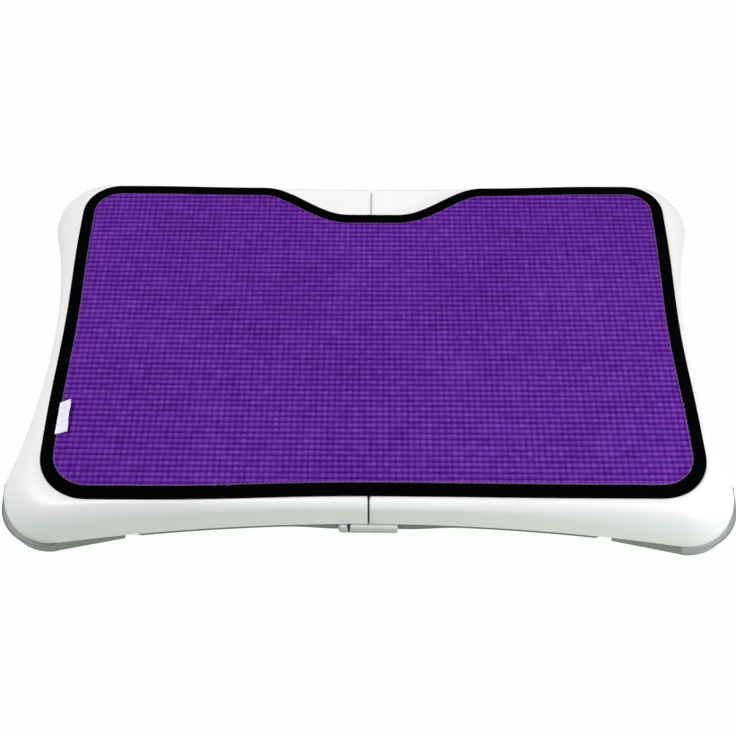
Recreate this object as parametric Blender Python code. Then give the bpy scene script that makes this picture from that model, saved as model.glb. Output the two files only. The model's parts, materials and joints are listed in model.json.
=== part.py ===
"""Balance board game controller with a textile slip mat.

Metres, +Z up, origin on the floor under the middle of the board.
+X runs along the long side (right hand of the person facing the power
button), +Y points away from the power button, to the back edge.
"""
import math

import bmesh
import bpy
from mathutils import Vector

MM = 0.001

# ---------------------------------------------------------------- dimensions
# All lengths below are in millimetres.
LENGTH, DEPTH, HEIGHT = 509.4, 316.0, 53.2     # covers without the feet and the mat
CORNER_R = 35.0          # corner radius of the widest outline
PINCH_LONG = 13.0        # how far the long sides draw in at their middle
PINCH_SHORT = 17.0       # how far the short sides draw in at their middle
TOP_HX, TOP_HY = 229.0, 145.5   # half sizes of the flat top at its corners
TOP_R = 24.0
TOP_PINCH_LONG, TOP_PINCH_SHORT = 4.4, 2.7
WAIST_Z = 19.9           # height of the widest outline
EDGE_MID_Z = 22.9        # lower edge of the top covers between the feet
EDGE_CORNER_Z = 16.0     # the same edge above each foot
ARCH_X, ARCH_Y = 223.0, 126.0   # it reaches that height this far out
SHOULDER = 7.0           # radius of the shoulder in the middle of the long sides
WALL = 2.5               # moulded cover thickness
SEAM = 0.7               # half width of the gap between the two top covers
BASE_INSET = 3.3         # bottom cover wall behind the top cover's edge
BASE_INSET_FOOT = 8.6    # the same beside the feet, whose collars stand there
BASE_Z = 9.5             # underside of the bottom cover
BASE_T = 2.5
FOOT_X, FOOT_Y = 171.0, 108.0   # inner edges of each foot
FOOT_TOP, FOOT_LOW = 9.2, 1.0
FOOT_CX, FOOT_CY, FOOT_R = 223.1, 124.6, 31.7   # corner arc of a front foot's lower rim
REAR_TUCK = 5.4          # the rear feet's sides stay this much further in, under the top cover's edge
FOOT_CREASE_X = 218.5    # where that arc meets the straight face
FOOT_END_Y = 145.6       # the straight face's lower rim at the foot's inner end
FOOT_DRAFT = 3.3 / 13.5  # the corner leans out by this much as it rises
FOOT_LEAN, FOOT_STEP = 0.5, 0.3  # the straight face leans out half as far, and starts this far back
COLLAR_GAP, COLLAR_IN = 1.0, 7.6  # the collar stops under the top cover's edge and reaches in this far
PAD_TOP = 1.7            # rubber pads stand from the floor to here
CELL_Y = 128.0           # load cells, from the middle of the board
CELL_X0, CELL_X1 = 166.0, 234.0
CELL_Z0, CELL_Z1 = 12.9, 24.9
FOOT_BOLT_X, CELL_BOLT_X = 226.0, 174.0
RAIL_X0, RAIL_X1, RAIL_HY = 156.0, 192.0, 136.0
RAIL_Z0, RAIL_Z1, RAIL_T = 25.2, 48.4, 2.0
PLATE_HX, PLATE_HY = 205.0, 121.5
PLATE_Z0, PLATE_Z1, PLATE_T = 34.0, 50.3, 1.6
BOX_X0, BOX_X1, BOX_HY = -134.0, -57.5, 29.3   # inside of the battery box
BOX_TOP = 27.4
CELL_PITCH, BATT_R, BATT_L = 14.9, 7.1, 49.2
BATT_Z = 19.7
PCB_X0, PCB_X1, PCB_HY, PCB_Z = -137.0, -47.0, 38.0, 35.0
BUTTON_X0, BUTTON_X1 = -12.3, 20.5
LENS_X0, LENS_X1 = -20.8, -14.5
BAR_Y, BAR_Z, BAR_R = -143.0, 16.2, 4.5
SYNC_X, SYNC_Y = -64.0, 0.0
COVER_AXIS_Y, COVER_AXIS_Z = 29.3, 9.5
SCREWS = {"front_left": (-70, -127), "front_right": (70, -127), "rear_left": (-70, 127),
          "rear_right": (70, 127), "end_left": (-221, 0), "end_right": (221, 0)}
MAT_CX = 1.6             # the mat lies this far right of the middle
MAT_SKEW = 1.2           # and its front this much further right
MAT_HX_FRONT, MAT_HX_BACK = 228.9, 229.4        # half width at the corners
MAT_BOW_FRONT, MAT_BOW_BACK = 1.6, 2.1          # how much narrower it is in the middle
MAT_Y_FRONT = {-1: (144.2, 3.5, 36.0), 1: (141.5, 0.8, 33.0)}   # left, right: reach, bow, corner radius
MAT_Y_BACK = {-1: (145.4, 28.0), 1: (146.2, 27.0)}              # left, right: reach, corner radius
MAT_SHOULDER = 143.9     # the back edge beside the notch
NOTCH_X, NOTCH_FLAT, NOTCH_SLOPE, NOTCH_DEEP = 2.0, 20.3, 66.0, 29.2
MAT_Z0, PAD_Z1, BIND_Z1 = 53.5, 56.2, 56.8
BIND_W = 8.4

# ---------------------------------------------------------------- scene reset
for old in list(bpy.data.objects):
    bpy.data.objects.remove(old, do_unlink=True)
scene = bpy.context.scene


def material(name, rgb, roughness, metallic=0.0):
    m = bpy.data.materials.new(name)
    m.use_nodes = True
    b = m.node_tree.nodes["Principled BSDF"]
    b.inputs["Base Color"].default_value = (*rgb, 1.0)
    b.inputs["Roughness"].default_value = roughness
    b.inputs["Metallic"].default_value = metallic
    m.diffuse_color = (*rgb, 1.0)
    return m


WHITE = material("white_abs", (0.88, 0.89, 0.88), 0.42)
BASE_WHITE = material("base_abs", (0.70, 0.72, 0.70), 0.5)
FOOT_GREY = material("foot_grey", (0.30, 0.31, 0.30), 0.55)
RUBBER = material("rubber", (0.12, 0.12, 0.12), 0.8)
STEEL = material("zinc_steel", (0.62, 0.63, 0.64), 0.35, 1.0)
ALLOY = material("cell_alloy", (0.72, 0.73, 0.75), 0.3, 1.0)
ZINC = material("bolt_zinc", (0.55, 0.55, 0.56), 0.3, 1.0)
PCB_GREEN = material("pcb_green", (0.03, 0.22, 0.09), 0.45)
CAN = material("shield_tin", (0.70, 0.71, 0.70), 0.3, 1.0)
BAY_GREY = material("bay_grey", (0.45, 0.46, 0.46), 0.5)
LENS = material("lens_grey", (0.55, 0.60, 0.58), 0.25)
BUTTON = material("button_grey", (0.60, 0.64, 0.60), 0.35)
SYNC_RED = material("sync_red", (0.62, 0.05, 0.04), 0.4)
CONTACT = material("contact_nickel", (0.75, 0.72, 0.65), 0.25, 1.0)
BATTERY = material("battery_sleeve", (0.10, 0.11, 0.13), 0.35)
LEAD = material("lead_pvc", (0.06, 0.06, 0.06), 0.5)
PURPLE = material("mat_purple", (0.115, 0.023, 0.29), 0.9)
BLACK = material("binding_black", (0.010, 0.010, 0.011), 0.85)
TAB = material("tab_white", (0.78, 0.75, 0.85), 0.8)


def empty(name, at):
    e = bpy.data.objects.new(name, None)
    e.empty_display_size = 0.02
    e.location = [c * MM for c in at]
    scene.collection.objects.link(e)
    return e


board = empty("board_frame", (0, 0, 0))
button_axis = empty("power_button_axis", ((BUTTON_X0 + BUTTON_X1) / 2, BAR_Y, BAR_Z))
sync_axis = empty("sync_button_axis", (SYNC_X, SYNC_Y, 26))
cover_axis = empty("battery_cover_axis", (-95.75, COVER_AXIS_Y, COVER_AXIS_Z))
mat_frame = empty("mat_frame", (MAT_CX, 0, MAT_Z0))


# ---------------------------------------------------------------- mesh helpers
def finish(bm, name, mat, parent=None):
    """Turn a bmesh in board millimetres into an object on its parent's origin."""
    bmesh.ops.recalc_face_normals(bm, faces=bm.faces[:])
    shift = parent.location if parent else Vector((0, 0, 0))
    for v in bm.verts:
        v.co = v.co * MM - shift
    me = bpy.data.meshes.new(name)
    bm.to_mesh(me)
    bm.free()
    ob = bpy.data.objects.new(name, me)
    scene.collection.objects.link(ob)
    if mat:
        me.materials.append(mat)
    if parent:
        ob.parent = parent
    me.shade_smooth()
    me.set_sharp_from_angle(angle=math.radians(32))
    return ob


def guide(bm, name, parent=None):
    ob = finish(bm, name, None, parent)
    ob.hide_render = True
    ob.display_type = 'WIRE'
    return ob


def boolean(target, other, operation='DIFFERENCE'):
    m = target.modifiers.new(operation.lower(), 'BOOLEAN')
    m.operation = operation
    m.solver = 'EXACT'
    m.object = other
    return m


def box_bm(x0, x1, y0, y1, z0, z1, bm=None):
    bm = bm or bmesh.new()
    v = [bm.verts.new(p) for p in ((x0, y0, z0), (x1, y0, z0), (x1, y1, z0), (x0, y1, z0),
                                   (x0, y0, z1), (x1, y0, z1), (x1, y1, z1), (x0, y1, z1))]
    for f in ((3, 2, 1, 0), (4, 5, 6, 7), (0, 1, 5, 4), (1, 2, 6, 5), (2, 3, 7, 6), (3, 0, 4, 7)):
        bm.faces.new([v[i] for i in f])
    return bm


def stack_bm(rings, bm=None, close=True, cap=True):
    """Skin a list of closed rings (lists of 3-D points with equal counts)."""
    bm = bm or bmesh.new()
    vs = [[bm.verts.new(p) for p in r] for r in rings]
    n = len(vs[0])
    pairs = list(zip(vs[:-1], vs[1:]))
    if not close and cap is False:
        pairs.append((vs[-1], vs[0]))
    for a, b in pairs:
        for i in range(n):
            j = (i + 1) % n
            bm.faces.new((a[i], a[j], b[j], b[i]))
    if cap:
        bm.faces.new(list(reversed(vs[0])))
        bm.faces.new(vs[-1])
    return bm


def prism_bm(points, lo, hi, axis='z', bm=None):
    put = {'z': lambda a, b, t: (a, b, t), 'y': lambda a, b, t: (a, t, b),
           'x': lambda a, b, t: (t, a, b)}[axis]
    return stack_bm([[put(a, b, t) for a, b in points] for t in (lo, hi)], bm)


def circle(cx, cy, r, n=20):
    return [(cx + r * math.cos(2 * math.pi * (i + 0.5) / n), cy + r * math.sin(2 * math.pi * (i + 0.5) / n))
            for i in range(n)]


def cyl_bm(cx, cy, r, z0, z1, n=20, bm=None):
    return prism_bm(circle(cx, cy, r, n), z0, z1, 'z', bm)


def turned_bm(profile, cx, cy, n=16, axis='z', along=0.0):
    """Solid of revolution; profile is (radius, height) from low to high."""
    rings = []
    for r, h in profile:
        c = circle(0, 0, r, n)
        if axis == 'z':
            rings.append([(cx + a, cy + b, h) for a, b in c])
        else:                                   # turned about a line parallel to Y
            rings.append([(cx + a, h, along + b) for a, b in c])
    return stack_bm(rings)


def rounded_rect(x0, x1, y0, y1, r, n=5):
    pts = []
    for cx, cy, a0 in ((x1 - r, y0 + r, -90), (x1 - r, y1 - r, 0), (x0 + r, y1 - r, 90), (x0 + r, y0 + r, 180)):
        for i in range(n + 1):
            a = math.radians(a0 + 90 * i / n)
            pts.append((cx + r * math.cos(a), cy + r * math.sin(a)))
    return pts


def normals(pts):
    out = []
    n = len(pts)
    for i in range(n):
        (ax, ay), (bx, by) = pts[i - 1], pts[(i + 1) % n]
        dx, dy = bx - ax, by - ay
        d = math.hypot(dx, dy)
        out.append((dy / d, -dx / d))           # outwards on a counter-clockwise loop
    return out


def offset(pts, dist):
    return [(p[0] + n[0] * dist, p[1] + n[1] * dist) for p, n in zip(pts, normals(pts))]


def waisted(hx, hy, pinch_short, pinch_long, r, n_short=5, n_corner=9, n_long=7):
    """Closed outline: four corner arcs joined by shallow inward arcs, counter-clockwise."""
    cx, cy = hx - r, hy - r
    e = hy - pinch_long - cy
    big = (cx * cx + e * e - r * r) / (2 * (r - e))
    a_long = math.atan2(cx, hy - pinch_long + big - cy)
    e2 = hx - pinch_short - cx
    big2 = (cy * cy + e2 * e2 - r * r) / (2 * (r - e2))
    a_short = math.atan2(cy, hx - pinch_short + big2 - cx)
    q = []
    for i in range(n_short):
        t = a_short * i / n_short
        q.append((hx - pinch_short + big2 - big2 * math.cos(t), big2 * math.sin(t)))
    for i in range(n_corner + 1):
        t = -a_short + (math.pi / 2 + a_long + a_short) * i / n_corner
        q.append((cx + r * math.cos(t), cy + r * math.sin(t)))
    for i in range(1, n_long + 1):
        t = a_long * (1 - i / n_long)
        q.append((big * math.sin(t), hy - pinch_long + big - big * math.cos(t)))
    out = list(q)
    out += [(-x, y) for x, y in reversed(q[:-1])]
    out += [(-x, -y) for x, y in q[1:]]
    out += [(x, -y) for x, y in reversed(q[1:-1])]
    return out


def smoothstep(t):
    t = max(0.0, min(1.0, t))
    return t * t * (3 - 2 * t)


OUTLINE = waisted(LENGTH / 2, DEPTH / 2, PINCH_SHORT, PINCH_LONG, CORNER_R)
TOPLINE = waisted(TOP_HX, TOP_HY, TOP_PINCH_SHORT, TOP_PINCH_LONG, TOP_R)


def edge_z(p):
    """Height of the top covers' lower edge: low over the feet, arched between them."""
    u = min(1.0, abs(p[0]) / ARCH_X) ** 2 * min(1.0, abs(p[1]) / ARCH_Y) ** 2
    return EDGE_MID_Z + (EDGE_CORNER_Z - EDGE_MID_Z) * u


EDGE = [edge_z(p) for p in OUTLINE]


# ---------------------------------------------------------------- top covers
def cover_rings(depth, drop, angles):
    """Rings of the flank from above its lip to the flat top: a leaning face, then a rounded shoulder.

    The shoulder is small in the middle of the long sides and takes up the whole flank elsewhere.
    """
    rings = [[] for _ in range(len(angles) + 1)]
    for p, q, n, z in zip(offset(OUTLINE, -depth), offset(TOPLINE, -depth), normals(OUTLINE), EDGE):
        low = max(WAIST_Z, z + 1.5)
        run = (p[0] - q[0]) * n[0] + (p[1] - q[1]) * n[1]
        high = low + 0.6 + (HEIGHT - SHOULDER - low - 0.6) * (1 - smoothstep((run - 4) / 7))
        more = max(0.0, SHOULDER - run)
        wide = (p[0] + n[0] * more, p[1] + n[1] * more)
        rings[0].append((p[0], p[1], low))
        for ring, angle in zip(rings[1:], angles):
            s = 1 - math.cos(math.radians(angle))
            ring.append((wide[0] + (q[0] - wide[0]) * s, wide[1] + (q[1] - wide[1]) * s,
                         high + (HEIGHT - drop - high) * math.sin(math.radians(angle))))
    return rings


def cover_blank():
    outer = [[(p[0], p[1], z) for p, z in zip(OUTLINE, EDGE)]]
    outer += cover_rings(0, 0, (0, 22, 42, 58, 72, 90))
    inner_line = offset(OUTLINE, -WALL)
    inner = [[(p[0], p[1], z) for p, z in zip(inner_line, EDGE)]]
    inner += cover_rings(WALL, WALL, (0, 30, 58, 90))
    bm = bmesh.new()
    stack_bm(outer, bm, cap=False)
    stack_bm(inner, bm, cap=False)
    bm.verts.ensure_lookup_table()
    n, k = len(OUTLINE), len(outer)
    low_out, top_out = bm.verts[0:n], bm.verts[n * (k - 1):n * k]
    low_in, top_in = bm.verts[n * k:n * (k + 1)], bm.verts[-n:]
    for i in range(n):
        j = (i + 1) % n
        bm.faces.new((low_out[j], low_out[i], low_in[i], low_in[j]))
    bm.faces.new(top_out)
    bm.faces.new(list(reversed(top_in)))
    return bm


def half_cover(name, side):
    bm = cover_blank()
    cut = bmesh.ops.bisect_plane(bm, geom=bm.verts[:] + bm.edges[:] + bm.faces[:], dist=1e-5,
                                 plane_co=(side * SEAM, 0, 0), plane_no=(side, 0, 0), clear_inner=True)
    edges = [g for g in cut['geom_cut'] if isinstance(g, bmesh.types.BMEdge)]
    bmesh.ops.contextual_create(bm, geom=edges)
    ob = finish(bm, name, WHITE, board)
    # screw bosses hang from the deck and carry the cover's own screws
    for key, (x, y) in SCREWS.items():
        if x * side > 0:
            boolean(ob, guide(cyl_bm(x, y, 3.2, 15.3, HEIGHT - 1.2, 12), "boss_%s" % key, board), 'UNION')
            boolean(ob, guide(cyl_bm(x, y, 1.6, 15.0, 34.0, 12), "boss_bore_%s" % key, board))
    return ob


half_cover("top_cover_left", -1)
half_cover("top_cover_right", 1)


# ---------------------------------------------------------------- bottom cover
def base_wall_z(p):
    """Lower end of the bottom cover's upright wall; it dips behind the power button."""
    z = max(edge_z(p) - 8.4, 10.1)
    if p[1] < 0:
        z = z + (9.9 - z) * (1 - smoothstep((abs(p[0] - 4.0) - 22.0) / 40.0))
    return z


def base_inset(p):
    """The wall steps in beside the feet, to leave room for their collars."""
    u = min(1.0, abs(p[0]) / ARCH_X) ** 2 * min(1.0, abs(p[1]) / ARCH_Y) ** 2
    return BASE_INSET + (BASE_INSET_FOOT - BASE_INSET) * smoothstep((u - 0.34) / 0.14)


def base_rings(t):
    nrm = normals(OUTLINE)
    line = [(p[0] - n[0] * (base_inset(p) + t), p[1] - n[1] * (base_inset(p) + t)) for p, n in zip(OUTLINE, nrm)]
    low = [base_wall_z(p) for p in OUTLINE]
    flat = line
    upper = [(p[0], p[1], z + 3.0) for p, z in zip(line, EDGE)]
    if t == 0:
        mid = [(p[0], p[1], z) for p, z in zip(line, low)]
        base = [(p[0] - n[0] * ((z - BASE_Z) * 1.3 + 1.0), p[1] - n[1] * ((z - BASE_Z) * 1.3 + 1.0), BASE_Z)
                for p, n, z in zip(flat, nrm, low)]
    else:
        mid = [(p[0], p[1], max(z + 1.6, BASE_Z + BASE_T + 0.5)) for p, z in zip(line, low)]
        base = [(p[0] - n[0] * ((z - BASE_Z) * 1.3 + 1.6), p[1] - n[1] * ((z - BASE_Z) * 1.3 + 1.6), BASE_Z + BASE_T)
                for p, n, z in zip(flat, nrm, low)]
    return [base, mid, upper]


def bottom_cover():
    bm = bmesh.new()
    out, inn = base_rings(0.0), base_rings(2.0)
    stack_bm(out + list(reversed(inn)), bm)
    ob = finish(bm, "bottom_cover", BASE_WHITE, board)
    # battery opening, foot stud holes, screw wells, power button and lens windows
    cut = []
    for key, (x, y) in SCREWS.items():
        boolean(ob, guide(cyl_bm(x, y, 5.6, 10.4, 15.0, 16), "well_%s" % key, board), 'UNION')
    # two ribs each side hold the power switch board upright
    for i, x in enumerate((-27.2, 27.2)):
        boolean(ob, guide(box_bm(x - 2.2, x + 2.2, -135.0, -126.5, 10.8, 23.0), "switch_post_%d" % i, board), 'UNION')
    # posts under the main board's outer corners
    for i, (x, y) in enumerate(((-132, 34.6), (-132, -34.6), (-52, 34.6), (-52, -34.6))):
        boolean(ob, guide(cyl_bm(x, y, 2.5, 10.8, PCB_Z - 0.3, 12), "board_post_%d" % i, board), 'UNION')
    cut.append(box_bm(BOX_X0 - 2.4, BOX_X1 + 2.4, -BOX_HY - 2.4, BOX_HY + 2.4, BASE_Z + BASE_T - 0.8, 40))
    cut.append(box_bm(BOX_X0, BOX_X1, -BOX_HY, BOX_HY, 5, 40))
    for sx in (-1, 1):
        for sy in (-1, 1):
            cut.append(cyl_bm(sx * FOOT_BOLT_X, sy * CELL_Y, 9.0, 5, 20, 20))
    for key, (x, y) in SCREWS.items():
        cut.append(cyl_bm(x, y, 3.4, 5, 12.4, 12))
        cut.append(cyl_bm(x, y, 1.7, 12.0, 20, 12))
    cut.append(box_bm(BUTTON_X0 - 0.35, BUTTON_X1 + 0.35, -150, -133.6, 11.5, 20.9))
    cut.append(box_bm(LENS_X0 - 0.35, LENS_X1 + 0.35, -150, -133.6, 11.5, 20.9))
    for i, x in enumerate((-27.2, 27.2)):
        s = 1 if x > 0 else -1
        cut.append(box_bm(x - 2.6 if s > 0 else x - 1.0, x + 1.0 if s > 0 else x + 2.6, -132.1, -129.5, 12.4, 30))
    for i, bmc in enumerate(cut):
        boolean(ob, guide(bmc, "base_cut_%02d" % i, board))
    return ob


bottom_cover()


# ---------------------------------------------------------------- feet, pads, bolts
def foot_outer(grow, rear, n=9):
    """Outer faces of a foot seen from above, from its side end round the corner to its inner end.

    grow moves the faces outwards from where they meet the lower rim. The straight face leans out
    less than the corner, which stands proud of it, and the crease between them leans inwards.
    """
    cx = FOOT_CX - (REAR_TUCK if rear else 0.0)
    r = FOOT_R + grow
    crease = FOOT_CREASE_X - max(0.0, grow)
    start = math.acos((crease - cx) / r)
    pts = [(cx + r - 4.0, FOOT_Y), (cx + r - 1.2, FOOT_Y + 1.2), (cx + r, FOOT_Y + 4.0)]
    pts += [(cx + r * math.cos(start * i / n), FOOT_CY + r * math.sin(start * i / n)) for i in range(n + 1)]
    out = (grow * FOOT_LEAN if grow > 0 else grow) - FOOT_STEP
    x0, y0, y1 = FOOT_CREASE_X - 0.15, FOOT_CY + FOOT_R - 0.3 + out, FOOT_END_Y + out
    xs = [crease - 0.15 + (FOOT_X - crease + 0.15) * i / 3 for i in range(4)]
    return pts + [(x, y0 + (y1 - y0) * (x - x0) / (FOOT_X - x0)) for x in xs]


def foot_plan(grow, rear, inset=0.0, r=14.0):
    """Closed plan of a foot: its outer faces, and inner edges that meet in a rounded corner."""
    x0, y0 = FOOT_X + inset, FOOT_Y + inset
    out = foot_outer(grow, rear)
    out[:3] = [(x, y + inset) for x, y in out[:3]]
    slope = (out[-1][1] - out[-2][1]) / (out[-1][0] - out[-2][0])
    out[-1] = (x0, out[-1][1] + slope * inset)
    arc = [(x0 + r - r * math.cos(math.radians(a)), y0 + r - r * math.sin(math.radians(a))) for a in (0, 22.5, 45, 67.5, 90)]
    return out + arc


def placed(points, sx, sy):
    return [(sx * p[0], sy * p[1]) for p in points]


def foot_body(sx, sy, tag):
    """Block with a collar along its outer faces that stands up towards the top cover's edge."""
    high = 19.0
    rings = []
    for z in (FOOT_LOW, high):
        rings.append([(sx * x, sy * y, z) for x, y in foot_plan((z - FOOT_LOW) * FOOT_DRAFT, sy > 0)])
    foot = finish(stack_bm(rings), "foot_" + tag, FOOT_GREY, board)
    # hollow above the block, inside the collar
    boolean(foot, guide(prism_bm(offset(OUTLINE, -COLLAR_IN), FOOT_TOP, 30), "foot_hollow_" + tag, board))
    # the collar's upper rim keeps its distance below the edge of the top cover
    section = []
    near, far = foot_outer(-14.0, sy > 0), foot_outer(9.0, sy > 0)
    near[0], far[0] = (near[0][0], FOOT_Y - 3), (far[0][0], FOOT_Y - 3)
    near[-1], far[-1] = (FOOT_X - 3, near[-1][1] - 0.6), (FOOT_X - 3, far[-1][1] - 0.6)
    for p, q, e in zip(near, far, foot_outer(3.3, False)):
        z = edge_z(e) - COLLAR_GAP
        section.append([(sx * p[0], sy * p[1], z), (sx * q[0], sy * q[1], z), (sx * q[0], sy * q[1], 32), (sx * p[0], sy * p[1], 32)])
    boolean(foot, guide(stack_bm(section), "foot_crown_" + tag, board))
    return foot


for sy, fb in ((-1, "front"), (1, "rear")):
    for sx, lr in ((-1, "left"), (1, "right")):
        tag = "%s_%s" % (fb, lr)
        bx, by = sx * FOOT_BOLT_X, sy * CELL_Y
        foot = foot_body(sx, sy, tag)
        boolean(foot, guide(cyl_bm(bx, by, 8.0, 8.0, CELL_Z0 - 0.3, 20), "foot_stud_" + tag, board), 'UNION')
        boolean(foot, guide(prism_bm(placed(foot_plan(-4.2, sy > 0, 4.7, 9.7), sx, sy), -1.0, 2.0), "foot_recess_" + tag, board))
        boolean(foot, guide(cyl_bm(bx, by, 5.2, 1.5, 5.3, 16), "foot_counterbore_" + tag, board))
        boolean(foot, guide(cyl_bm(bx, by, 2.6, 4.5, 16.0, 12), "foot_bore_" + tag, board))
        finish(prism_bm(placed(foot_plan(-4.5, sy > 0, 5.0, 9.4), sx, sy), 0.0, PAD_TOP), "foot_pad_" + tag, RUBBER, board)
        finish(turned_bm([(3.2, 2.3), (4.6, 2.7), (4.6, 5.0), (2.2, 5.0), (2.2, 23.5)], bx, by, 16),
               "foot_bolt_" + tag, ZINC, board)

        # bending-beam load cell with its binocular relief
        x0, x1 = sorted((sx * CELL_X0, sx * CELL_X1))
        cell = finish(box_bm(x0, x1, by - 7, by + 7, CELL_Z0, CELL_Z1), "load_cell_" + tag, ALLOY, board)
        mid = (x0 + x1) / 2
        zc = (CELL_Z0 + CELL_Z1) / 2
        slot = [(mid + (9 if c > 0 else -9) + 4.2 * c, zc + 4.2 * s)
                for c, s in ((math.cos(math.radians(t)), math.sin(math.radians(t))) for t in range(-81, 280, 18))]
        boolean(cell, guide(prism_bm(slot, by - 12, by + 12, 'y'), "cell_relief_" + tag, board))
        for hx, hn in ((bx, "outer"), (sx * CELL_BOLT_X, "inner")):
            boolean(cell, guide(cyl_bm(hx, by, 2.6, 5, 30, 12), "cell_hole_%s_%s" % (hn, tag), board))
        finish(turned_bm([(2.2, 14.5), (2.2, 27.5), (4.4, 27.5), (4.4, 30.0), (3.4, 30.6)], sx * CELL_BOLT_X, by, 16),
               "cell_bolt_" + tag, ZINC, board)

# ---------------------------------------------------------------- steel chassis
for sx, lr in ((-1, "left"), (1, "right")):
    a, b = sorted((sx * RAIL_X0, sx * RAIL_X1))
    u = [(a, RAIL_Z0), (b, RAIL_Z0), (b, RAIL_Z1), (b - RAIL_T, RAIL_Z1), (b - RAIL_T, RAIL_Z0 + RAIL_T),
         (a + RAIL_T, RAIL_Z0 + RAIL_T), (a + RAIL_T, RAIL_Z1), (a, RAIL_Z1)]
    rail = finish(prism_bm(u, -RAIL_HY, RAIL_HY, 'y'), "chassis_rail_" + lr, STEEL, board)
    for sy in (-1, 1):
        boolean(rail, guide(cyl_bm(sx * CELL_BOLT_X, sy * CELL_Y, 2.6, 20, 29, 12), "rail_hole_%s_%d" % (lr, sy), board))

plate = finish(prism_bm(rounded_rect(-PLATE_HX, PLATE_HX, -PLATE_HY, PLATE_HY, 12, 5), PLATE_Z0, PLATE_Z1),
               "chassis_plate", STEEL, board)
boolean(plate, guide(prism_bm(rounded_rect(-PLATE_HX + PLATE_T, PLATE_HX - PLATE_T, -PLATE_HY + PLATE_T,
                                           PLATE_HY - PLATE_T, 10.4, 5), PLATE_Z0 - 5, PLATE_Z1 - PLATE_T),
                     "plate_inside", board))
k = 0
for ix in (-99, -33, 33, 99):
    for iy in (-62, 62):
        boolean(plate, guide(cyl_bm(ix, iy, 19.0, 40, 60, 18), "plate_hole_%02d" % k, board))
        k += 1
# the rail tops reach up inside the plate's rim: notch the front and rear rims for them
for sx in (-1, 1):
    for sy in (-1, 1):
        x0, x1 = sorted((sx * (RAIL_X0 - 0.5), sx * (RAIL_X1 + 0.5)))
        y0, y1 = sorted((sy * (PLATE_HY - 4), sy * (PLATE_HY + 4)))
        boolean(plate, guide(box_bm(x0, x1, y0, y1, 30, RAIL_Z1 + 0.3), "plate_notch_%d_%d" % (sx, sy), board))

# ---------------------------------------------------------------- cover screws
for key, (x, y) in SCREWS.items():
    finish(turned_bm([(2.4, 9.9), (3.0, 10.4), (3.0, 12.1), (1.25, 12.1), (1.25, 26.0), (0.5, 27.5)], x, y, 12),
           "cover_screw_" + key, ZINC, board)

# ---------------------------------------------------------------- battery box and cells
bbox_ob = finish(box_bm(BOX_X0 - 2.0, BOX_X1 + 2.0, -BOX_HY - 2.0, BOX_HY + 2.0, BASE_Z + BASE_T - 0.5, BOX_TOP + 2.0),
                 "battery_box", BAY_GREY, board)
boolean(bbox_ob, guide(box_bm(BOX_X0, BOX_X1, -BOX_HY, BOX_HY, 5, BOX_TOP), "box_inside", board))
boolean(bbox_ob, guide(box_bm(-73.2, -71.7, -BOX_HY - 1, BOX_HY + 1, 13.2, BOX_TOP + 1), "box_divider", board), 'UNION')
for i, x in enumerate((-118.0, -84.0)):        # slots for the cover's two hooks
    boolean(bbox_ob, guide(box_bm(x - 4.6, x + 4.6, BOX_HY - 0.5, BOX_HY + 4, 5, 15.0), "hook_slot_%d" % i, board))
boolean(bbox_ob, guide(cyl_bm(SYNC_X, SYNC_Y, 3.1, 20, 35, 16), "sync_hole", board))

for i in range(4):
    cx = -126.3 + CELL_PITCH * i
    s = 1 if i % 2 == 0 else -1
    h = BATT_L / 2
    prof = [(BATT_R - 0.5, -h), (BATT_R, -h + 0.5), (BATT_R, h - 0.5), (BATT_R - 0.6, h), (2.7, h), (2.7, h + 0.9)]
    prof = [(r, s * y) for r, y in prof]
    if s < 0:
        prof.reverse()
    finish(turned_bm(prof, cx, 0, 20, 'y', BATT_Z), "battery_cell_%d" % (i + 1), BATTERY, board)

for sy, fb in ((-1, "front"), (1, "rear")):
    y0, y1 = sorted((sy * 28.4, sy * 29.0))
    strip = finish(box_bm(-133.4, -74.3, y0, y1, 15.6, 26.6), "contact_strip_" + fb, CONTACT, board)
    for i in range(4):
        cx = -126.3 + CELL_PITCH * i
        plus = (1 if i % 2 == 0 else -1) == sy
        tip = 26.0 if plus else 25.0
        ring = [[(cx + a * r, sy * y, BATT_Z + b * r) for a, b in circle(0, 0, 1, 12)]
                for r, y in ((4.2, 28.7), (3.2, 26.4), (1.6, tip))]
        boolean(strip, guide(stack_bm(ring), "contact_bump_%s_%d" % (fb, i), board), 'UNION')

# ---------------------------------------------------------------- battery cover
lid = finish(box_bm(BOX_X0 + 0.4, BOX_X1 - 0.4, -BOX_HY + 0.4, BOX_HY - 0.4, BASE_Z, BASE_Z + 2.0),
             "battery_cover", BASE_WHITE, cover_axis)
for i, x in enumerate((-118.0, -84.0)):
    hook = [(BOX_HY - 4.5, 10.5), (BOX_HY - 0.4, 10.5), (BOX_HY - 0.4, 12.5), (BOX_HY + 2.4, 12.5),
            (BOX_HY + 2.4, 13.5), (BOX_HY + 1.8, 13.9), (BOX_HY - 4.5, 13.9)]
    boolean(lid, guide(prism_bm(hook, x - 4.0, x + 4.0, 'x'), "lid_hook_%d" % i, cover_axis), 'UNION')
latch = [(-BOX_HY + 0.4, 10.5), (-BOX_HY + 3.4, 10.5), (-BOX_HY + 3.4, 13.0), (-BOX_HY + 2.4, 14.6), (-BOX_HY + 0.4, 14.6)]
boolean(lid, guide(prism_bm(latch, -103.0, -93.0, 'x'), "lid_latch", cover_axis), 'UNION')
boolean(lid, guide(box_bm(-105.5, -104.0, -BOX_HY - 2, -BOX_HY + 9, 5, 20), "lid_slit_a", cover_axis))
boolean(lid, guide(box_bm(-92.0, -90.5, -BOX_HY - 2, -BOX_HY + 9, 5, 20), "lid_slit_b", cover_axis))
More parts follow.
